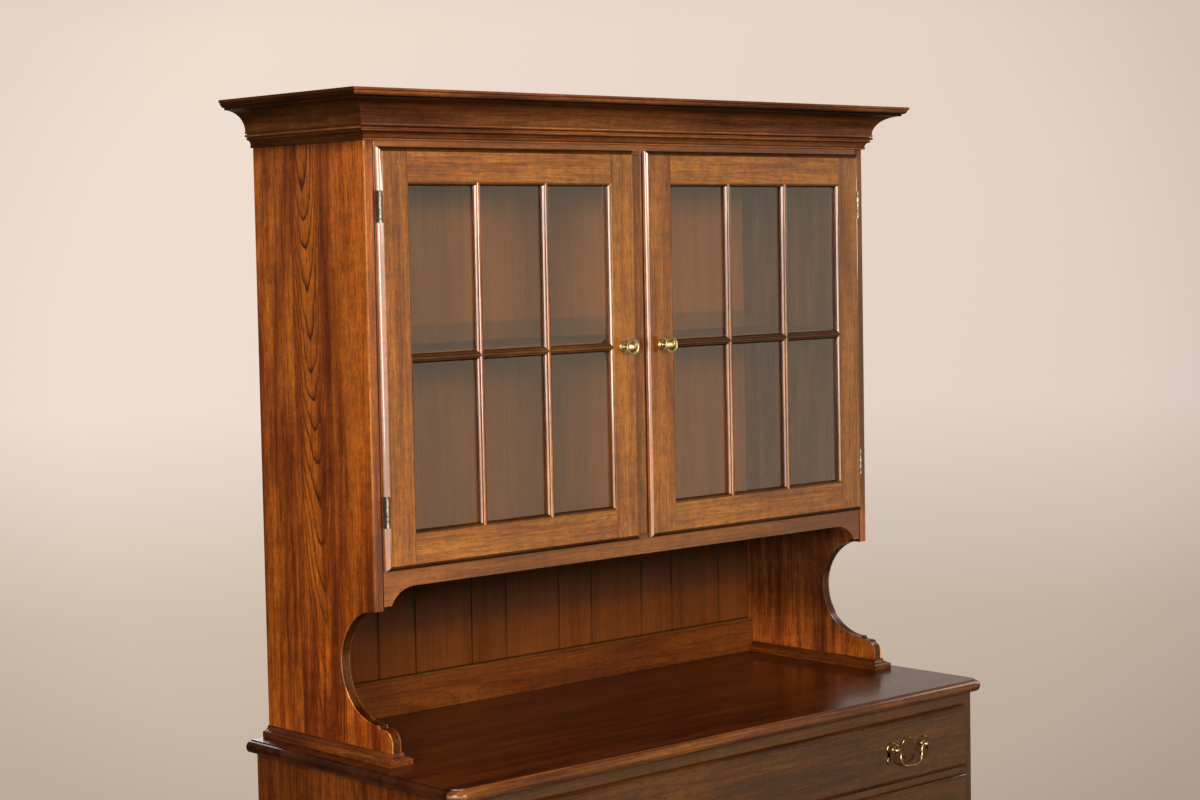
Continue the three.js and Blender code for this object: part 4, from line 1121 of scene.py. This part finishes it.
def feet_returns(tree, parts):
    """The mask of the bracket feet's returns along the sides."""
    low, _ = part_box("bracket_feet")
    return above(tree, parts[1], low.y + FOOT_THICK), "along y, facing x", None


# Drawer pulls


def spline(points, steps=10):
    """A smooth run of points through the given ones."""
    smooth = []
    ends = [points[0], *points, points[-1]]
    for a, b, c, d in zip(ends, ends[1:], ends[2:], ends[3:]):
        for i in range(steps):
            t = i / steps
            smooth.append(tuple(
                0.5 * (
                    2 * q + (r - p) * t + (2 * p - 5 * q + 4 * r - s) * t * t
                    + (3 * q - p - 3 * r + s) * t**3
                )
                for p, q, r, s in zip(a, b, c, d)
            ))
    return [*smooth, tuple(points[-1])]


# Right half of a plate's outline, as shares of its half width and of its rise or its drop
PLATE_SHARES = (
    (0.00, 0.88), (0.12, 0.85), (0.21, 0.68), (0.26, 0.46), (0.33, 0.32), (0.45, 0.30), (0.56, 0.44),
    (0.68, 0.64), (0.80, 0.67), (0.91, 0.54), (0.98, 0.32), (1.00, 0.08), (0.95, -0.10), (0.87, -0.20),
    (0.88, -0.38), (0.97, -0.56), (0.97, -0.82), (0.88, -1.00), (0.77, -1.00), (0.67, -0.84), (0.59, -0.62),
    (0.48, -0.50), (0.34, -0.54), (0.22, -0.66), (0.10, -0.82), (0.00, -0.90),
)


def plate_ring(half_width, rise, drop):
    """The whole outline of a plate, as (x, z) points."""
    places = [(x * half_width, z * (rise if z > 0 else drop)) for x, z in PLATE_SHARES]
    half = spline(places, 5)
    return half + [(-x, z) for x, z in reversed(half[1:-1])]


def drawn_in(ring, amount):
    """A ring of points moved in along its own normals."""
    moved = []
    for (ax, az), (bx, bz), (cx, cz) in zip(ring[-1:] + ring[:-1], ring, ring[1:] + ring[:1]):
        along = Vector((cx - ax, cz - az)).normalized()
        moved.append((bx - amount * -along.y, bz - amount * along.x))
    return moved


def plate_mesh(ring, thick, edge):
    """A plate with a bevelled edge, facing -Y, its back on y = 0. The edge is the second material."""
    mesh = bmesh.new()
    inner = drawn_in(ring, edge)
    levels = ((ring, 0), (ring, -thick + edge * 0.7), (inner, -thick))
    loops = [[mesh.verts.new((x, y, z)) for x, z in points] for points, y in levels]
    for face in bridge(mesh, loops):
        face.material_index = 1
    mesh.faces.new(loops[0][::-1])
    mesh.faces.new(loops[-1])
    bmesh.ops.triangulate(mesh, faces=[f for f in mesh.faces if len(f.verts) > 4])
    return mesh


# A post's section as (radius, height) in millimetres: its flange, the middle and the radius of the ring
# on it, the stem, the stem's radius at the ball, and the button's radii
POST_FLANGE = ((0, 1), (6.4, 1), (6.4, 2.6))
POST_RING = ((5.4, 2.8),)
RING_RADIUS = 1.0 * MM
POST_STEM = ((4.4, 3.6), (3.2, 4.6), (2.9, 6.5))
STEM_END = 3.1 * MM
BUTTON_FOOT = 1.9 * MM
BUTTON_TOP = 1.3 * MM


def post_profile(reach, ball):
    """A post: a ringed flange, a waisted stem and a ball with a button end."""
    profile = in_mm(POST_FLANGE) + arc(in_mm(POST_RING)[0], RING_RADIUS, 0, 90, 4) + in_mm(POST_STEM)
    profile += [(STEM_END, reach - ball * 0.9), *arc((0, reach), ball, -50, 66, 14)]
    profile += [(BUTTON_FOOT, reach + ball * 0.96), (BUTTON_TOP, reach + ball), (0, reach + ball)]
    return profile


def tube(name, path, radii, material, sides=16):
    """A bent rod that lies in a plane facing Y, with a radius at each point of its path."""
    mesh = bmesh.new()
    rings = []
    for i, (x, z) in enumerate(path):
        before, after = path[max(i - 1, 0)], path[min(i + 1, len(path) - 1)]
        along = Vector((after[0] - before[0], 0, after[1] - before[1])).normalized()
        across = along.cross(Vector((0, 1, 0)))
        ring = []
        for j in range(sides):
            turn = 2 * math.pi * j / sides
            offset = across * math.cos(turn) + Vector((0, 1, 0)) * math.sin(turn)
            ring.append(mesh.verts.new(Vector((x, 0, z)) + offset * radii[i]))
        rings.append(ring)
    bridge(mesh, rings)
    mesh.faces.new(rings[0])
    mesh.faces.new(rings[-1])
    return finished(name, mesh, material)


# The pull: the plate's thickness and bevel, the radius of a post's ball, the span from post to post,
# and the bail's half width, how far it reaches to both sides of a post's middle, and its radii
PLATE_THICK = 2.0 * MM
PLATE_EDGE = 0.9 * MM
BALL = 5 * MM
POST_SPAN = 83 * MM
BAIL_HALF_WIDTH = 31.5 * MM
BAIL_INTO_BALL = 2 * MM
BAIL_SHOULDER = 3 * MM
BAIL_THIN = 1.7 * MM
BAIL_THICK = 2.5 * MM
# A bail's side from its post to its middle, as shares of its half width and of its drop
BAIL_SHARES = (
    (1.08, 0.02), (1.0, 0.14), (0.96, 0.30), (0.97, 0.48), (0.90, 0.68), (0.70, 0.88), (0.36, 0.985),
    (0.0, 1.0),
)


def pull(number, hand):
    """One drawer pull: plate, two posts and a swinging bail."""
    plate_node = f"drawer_{number}_pull_{hand}_plate"
    bail_node = f"drawer_{number}_pull_{hand}_bail"
    low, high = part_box(plate_node)
    hinge = Vector(joints[f"bail_{number}_{hand}_hinge"]["pos_m"])
    back = high.y
    ring = plate_ring((high.x - low.x) / 2, high.z - hinge.z, hinge.z - low.z)
    mesh = plate_mesh(ring, PLATE_THICK, PLATE_EDGE)
    # The plate's face in the shaded brass, painted dark, and its bevelled edge in the plain brass
    plate = finished(f"pull_plate_{number}_{hand}", mesh, BRASS_SHADED, BRASS)
    set_place(plate, Matrix.Translation((hinge.x, back, hinge.z)))
    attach(plate, f"drawer_{number}")
    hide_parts(plate_node)
    profile = post_profile(back - hinge.y, BALL)
    for side in (-1, 1):
        post = lathe(f"pull_post_{number}_{hand}_{side + 1}", profile, BRASS, 32)
        foot = (hinge.x + side * POST_SPAN / 2, back, hinge.z)
        set_place(post, Matrix.Translation(foot) @ FACING_FRONT)
        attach(post, f"drawer_{number}")

    drop = hinge.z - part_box(bail_node)[0].z - BAIL_THICK
    side = [(POST_SPAN / 2 + BAIL_INTO_BALL, 0), (POST_SPAN / 2 - BAIL_SHOULDER, 0)]
    side += [(x * BAIL_HALF_WIDTH, -z * drop) for x, z in BAIL_SHARES]
    half = spline(side, 8)
    path = half + [(-x, z) for x, z in reversed(half[:-1])]
    radii = [BAIL_THIN + (BAIL_THICK - BAIL_THIN) * (z / drop) ** 2 for _, z in path]
    bail = tube(f"pull_bail_{number}_{hand}", path, radii, BRASS)
    set_place(bail, Matrix.Translation(hinge))
    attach(bail, f"bail_{number}_{hand}")
    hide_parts(bail_node)


# Hinges


def hinges():
    """The hinges keep their CAD leaves, in aged steel."""
    for hand, _ in HANDS:
        for level in ("upper", "lower"):
            for leaf in ("frame_leaf", "door_leaf"):
                dress(f"hinge_{hand}_{level}_{leaf}", STEEL, 0.25 * MM)


# Stage, light and camera


def camera():
    """The photograph's camera."""
    data = bpy.data.cameras.new("camera")
    data.lens = CAMERA_LENS
    data.sensor_width = CAMERA_SENSOR
    made = new_object("camera", data)
    turn = Matrix.Rotation(-CAMERA_TURN, 4, "Z")
    rise = Matrix.Rotation(math.pi / 2 + CAMERA_RISE, 4, "X")
    roll = Matrix.Rotation(CAMERA_ROLL, 4, "Z")
    made.matrix_world = Matrix.Translation(CAMERA_PLACE) @ turn @ rise @ roll
    bpy.context.scene.camera = made


def lamp(name, place, target, size, power, colour, spread):
    """A soft area light that points at a target, and that the camera doesn't see."""
    data = bpy.data.lights.new(name, "AREA")
    data.shape = "RECTANGLE"
    data.size, data.size_y = size
    data.energy = power
    data.color = colour
    data.spread = math.radians(spread)
    made = new_object(name, data)
    made.location = place
    made.rotation_euler = (Vector(place) - Vector(target)).to_track_quat("Z", "Y").to_euler()
    made.visible_camera = False


def facing(tree, way, direction, stops):
    """A grey ramp by how closely a way points in a direction, from -1 to 1."""
    inputs = {0: way, 1: Vector(direction).normalized()}
    close = add(tree, "ShaderNodeVectorMath", inputs, operation="DOT_PRODUCT").outputs["Value"]
    places = [((place + 1) / 2, value) for place, value in stops]
    return ramp(tree, calc(tree, "MULTIPLY_ADD", close, 0.5, 0.5), places)


# The wall's tones from below the level of the eye to above it
WALL_STOPS = (
    (0.03, (0.56, 0.45, 0.365)), (0.20, (0.66, 0.54, 0.44)), (0.37, (0.91, 0.76, 0.67)),
    (0.68, (0.92, 0.77, 0.66)), (0.86, (0.77, 0.64, 0.55)),
)
# The wall darkens to the right and away from the middle of the picture
RIGHTWARDS = ((0.741, -0.671, 0), ((-0.3, 1.0), (0.3, 0.80)))
MIDDLEWARDS = ((0.671, 0.741, -0.065), ((0.960, 0.88), (0.978, 1.0)))
# Where gloss sees the wall, a broad pale panel and a bright band, by direction and soft edge
WALL_SEEN = ((0.671, 0.741, 0.05), ((0.76, 0.0), (0.90, 1.0)))
PANEL_SEEN = ((0.67, -0.74, -0.02), ((0.84, 0.0), (0.93, 0.7), (0.975, 1.0)))
BAND_SEEN = ((-0.707, -0.707, 0), ((0.39, 0.0), (0.54, 1.0)))
BAND_HEIGHT = ((0.22, 1.0), (0.36, 0.0))
# Tones of the dim room, the panel and the band in gloss, and of the room's own light, up the wall
DIM_STOPS = ((0.2, (0.03, 0.02, 0.015)), (0.9, (0.20, 0.17, 0.14)))
PANEL_STOPS = ((0.50, (1.12, 0.87, 0.58)), (0.57, (0.78, 0.72, 0.52)))
BAND_TONE = (5.8, 5.3, 4.7)
ROOM_STOPS = ((0.1, (0.05, 0.045, 0.04)), (0.5, (0.19, 0.18, 0.17)), (0.9, (0.22, 0.21, 0.20)))


def world():
    """A cream wall round the cupboard, which glass and gloss show too, in a room of soft plain light.

    Gloss sees the wall behind the cupboard, a broad pale panel to the front and right, a low bright
    band to the front and left, and a dim room.
    """
    made = bpy.data.worlds.new("room")
    bpy.context.scene.world = made
    made.use_nodes = True
    tree = made.node_tree
    way = add(tree, "ShaderNodeTexCoord").outputs["Generated"]
    height = split(tree, way)[2]
    rise = calc(tree, "MULTIPLY_ADD", height, 2.0, 0.5)
    wall = ramp(tree, rise, WALL_STOPS)
    wall = tinted(tree, wall, facing(tree, way, *RIGHTWARDS))
    wall = tinted(tree, wall, facing(tree, way, *MIDDLEWARDS))
    gloss = blend(tree, facing(tree, way, *WALL_SEEN), ramp(tree, rise, DIM_STOPS), wall)
    gloss = blend(tree, facing(tree, way, *PANEL_SEEN), gloss, ramp(tree, rise, PANEL_STOPS))
    belt = ramp(tree, size_of(tree, height), BAND_HEIGHT)
    band = times(tree, facing(tree, way, *BAND_SEEN), belt)
    gloss = blend(tree, band, gloss, BAND_TONE)
    path = add(tree, "ShaderNodeLightPath").outputs
    seen = calc(tree, "MAXIMUM", path["Is Camera Ray"], path["Is Transmission Ray"])
    colour = blend(tree, path["Is Glossy Ray"], ramp(tree, rise, ROOM_STOPS), gloss)
    colour = blend(tree, seen, colour, wall)
    room = add(tree, "ShaderNodeBackground", {"Color": colour, "Strength": 1.0}).outputs[0]
    tree.links.new(room, tree.nodes["World Output"].inputs["Surface"])


# The floor: its radius, the scale and detail of its clouds, its two tones to the eye, and its tone for
# the light that it sends back
FLOOR_RADIUS = 2.1
FLOOR_CLOUDS = (3.0, 3.0)
FLOOR_TONES = ((0.62, 0.54, 0.47), (0.70, 0.62, 0.54))
FLOOR_GLOW = (0.16, 0.14, 0.12)


def floor():
    """A plain pale floor under the cupboard, which sends little light up into it."""
    mesh = bmesh.new()
    bmesh.ops.create_circle(mesh, cap_ends=True, radius=FLOOR_RADIUS, segments=96)
    material, tree, shader = new_material("pale_floor")
    tone = blend(tree, noise(tree, object_place(tree), *FLOOR_CLOUDS), *FLOOR_TONES)
    seen = add(tree, "ShaderNodeLightPath").outputs["Is Camera Ray"]
    fill(tree, shader, {"Base Color": blend(tree, seen, FLOOR_GLOW, tone), "Roughness": 0.8})
    from_mesh("floor", mesh, material)


# Lamps: name, place, the place each points at, width and height, power in watts, colour and spread
LAMPS = (
    ("key", (-2.6, -1.25, 1.78), (-0.4, -0.05, 1.25), (1.3, 1.3), 51, (1.0, 0.95, 0.90), 140),
    ("front", (-0.5, -3.1, 2.0), (0.0, -0.1, 1.3), (1.7, 0.5), 58, (1.0, 0.96, 0.92), 180),
    ("back", (1.6, 3.2, 2.4), (0.0, 0.2, 1.1), (2.0, 1.6), 40, (1.0, 0.97, 0.94), 180),
    ("right", (3.0, -0.3, 2.2), (0.4, 0.1, 1.1), (1.2, 1.4), 24, (1.0, 0.97, 0.94), 180),
)


def lights():
    """A soft light to the left, level with the hutch, and others in front, behind and to the right."""
    for settings in LAMPS:
        lamp(*settings)


hutch_wood()
doors()
hinges()
base_wood()
for drawer in (1, 2, 3):
    for hand, _ in HANDS:
        pull(drawer, hand)
camera()
world()
floor()
lights()
bpy.context.scene.view_settings.view_transform = "Standard"
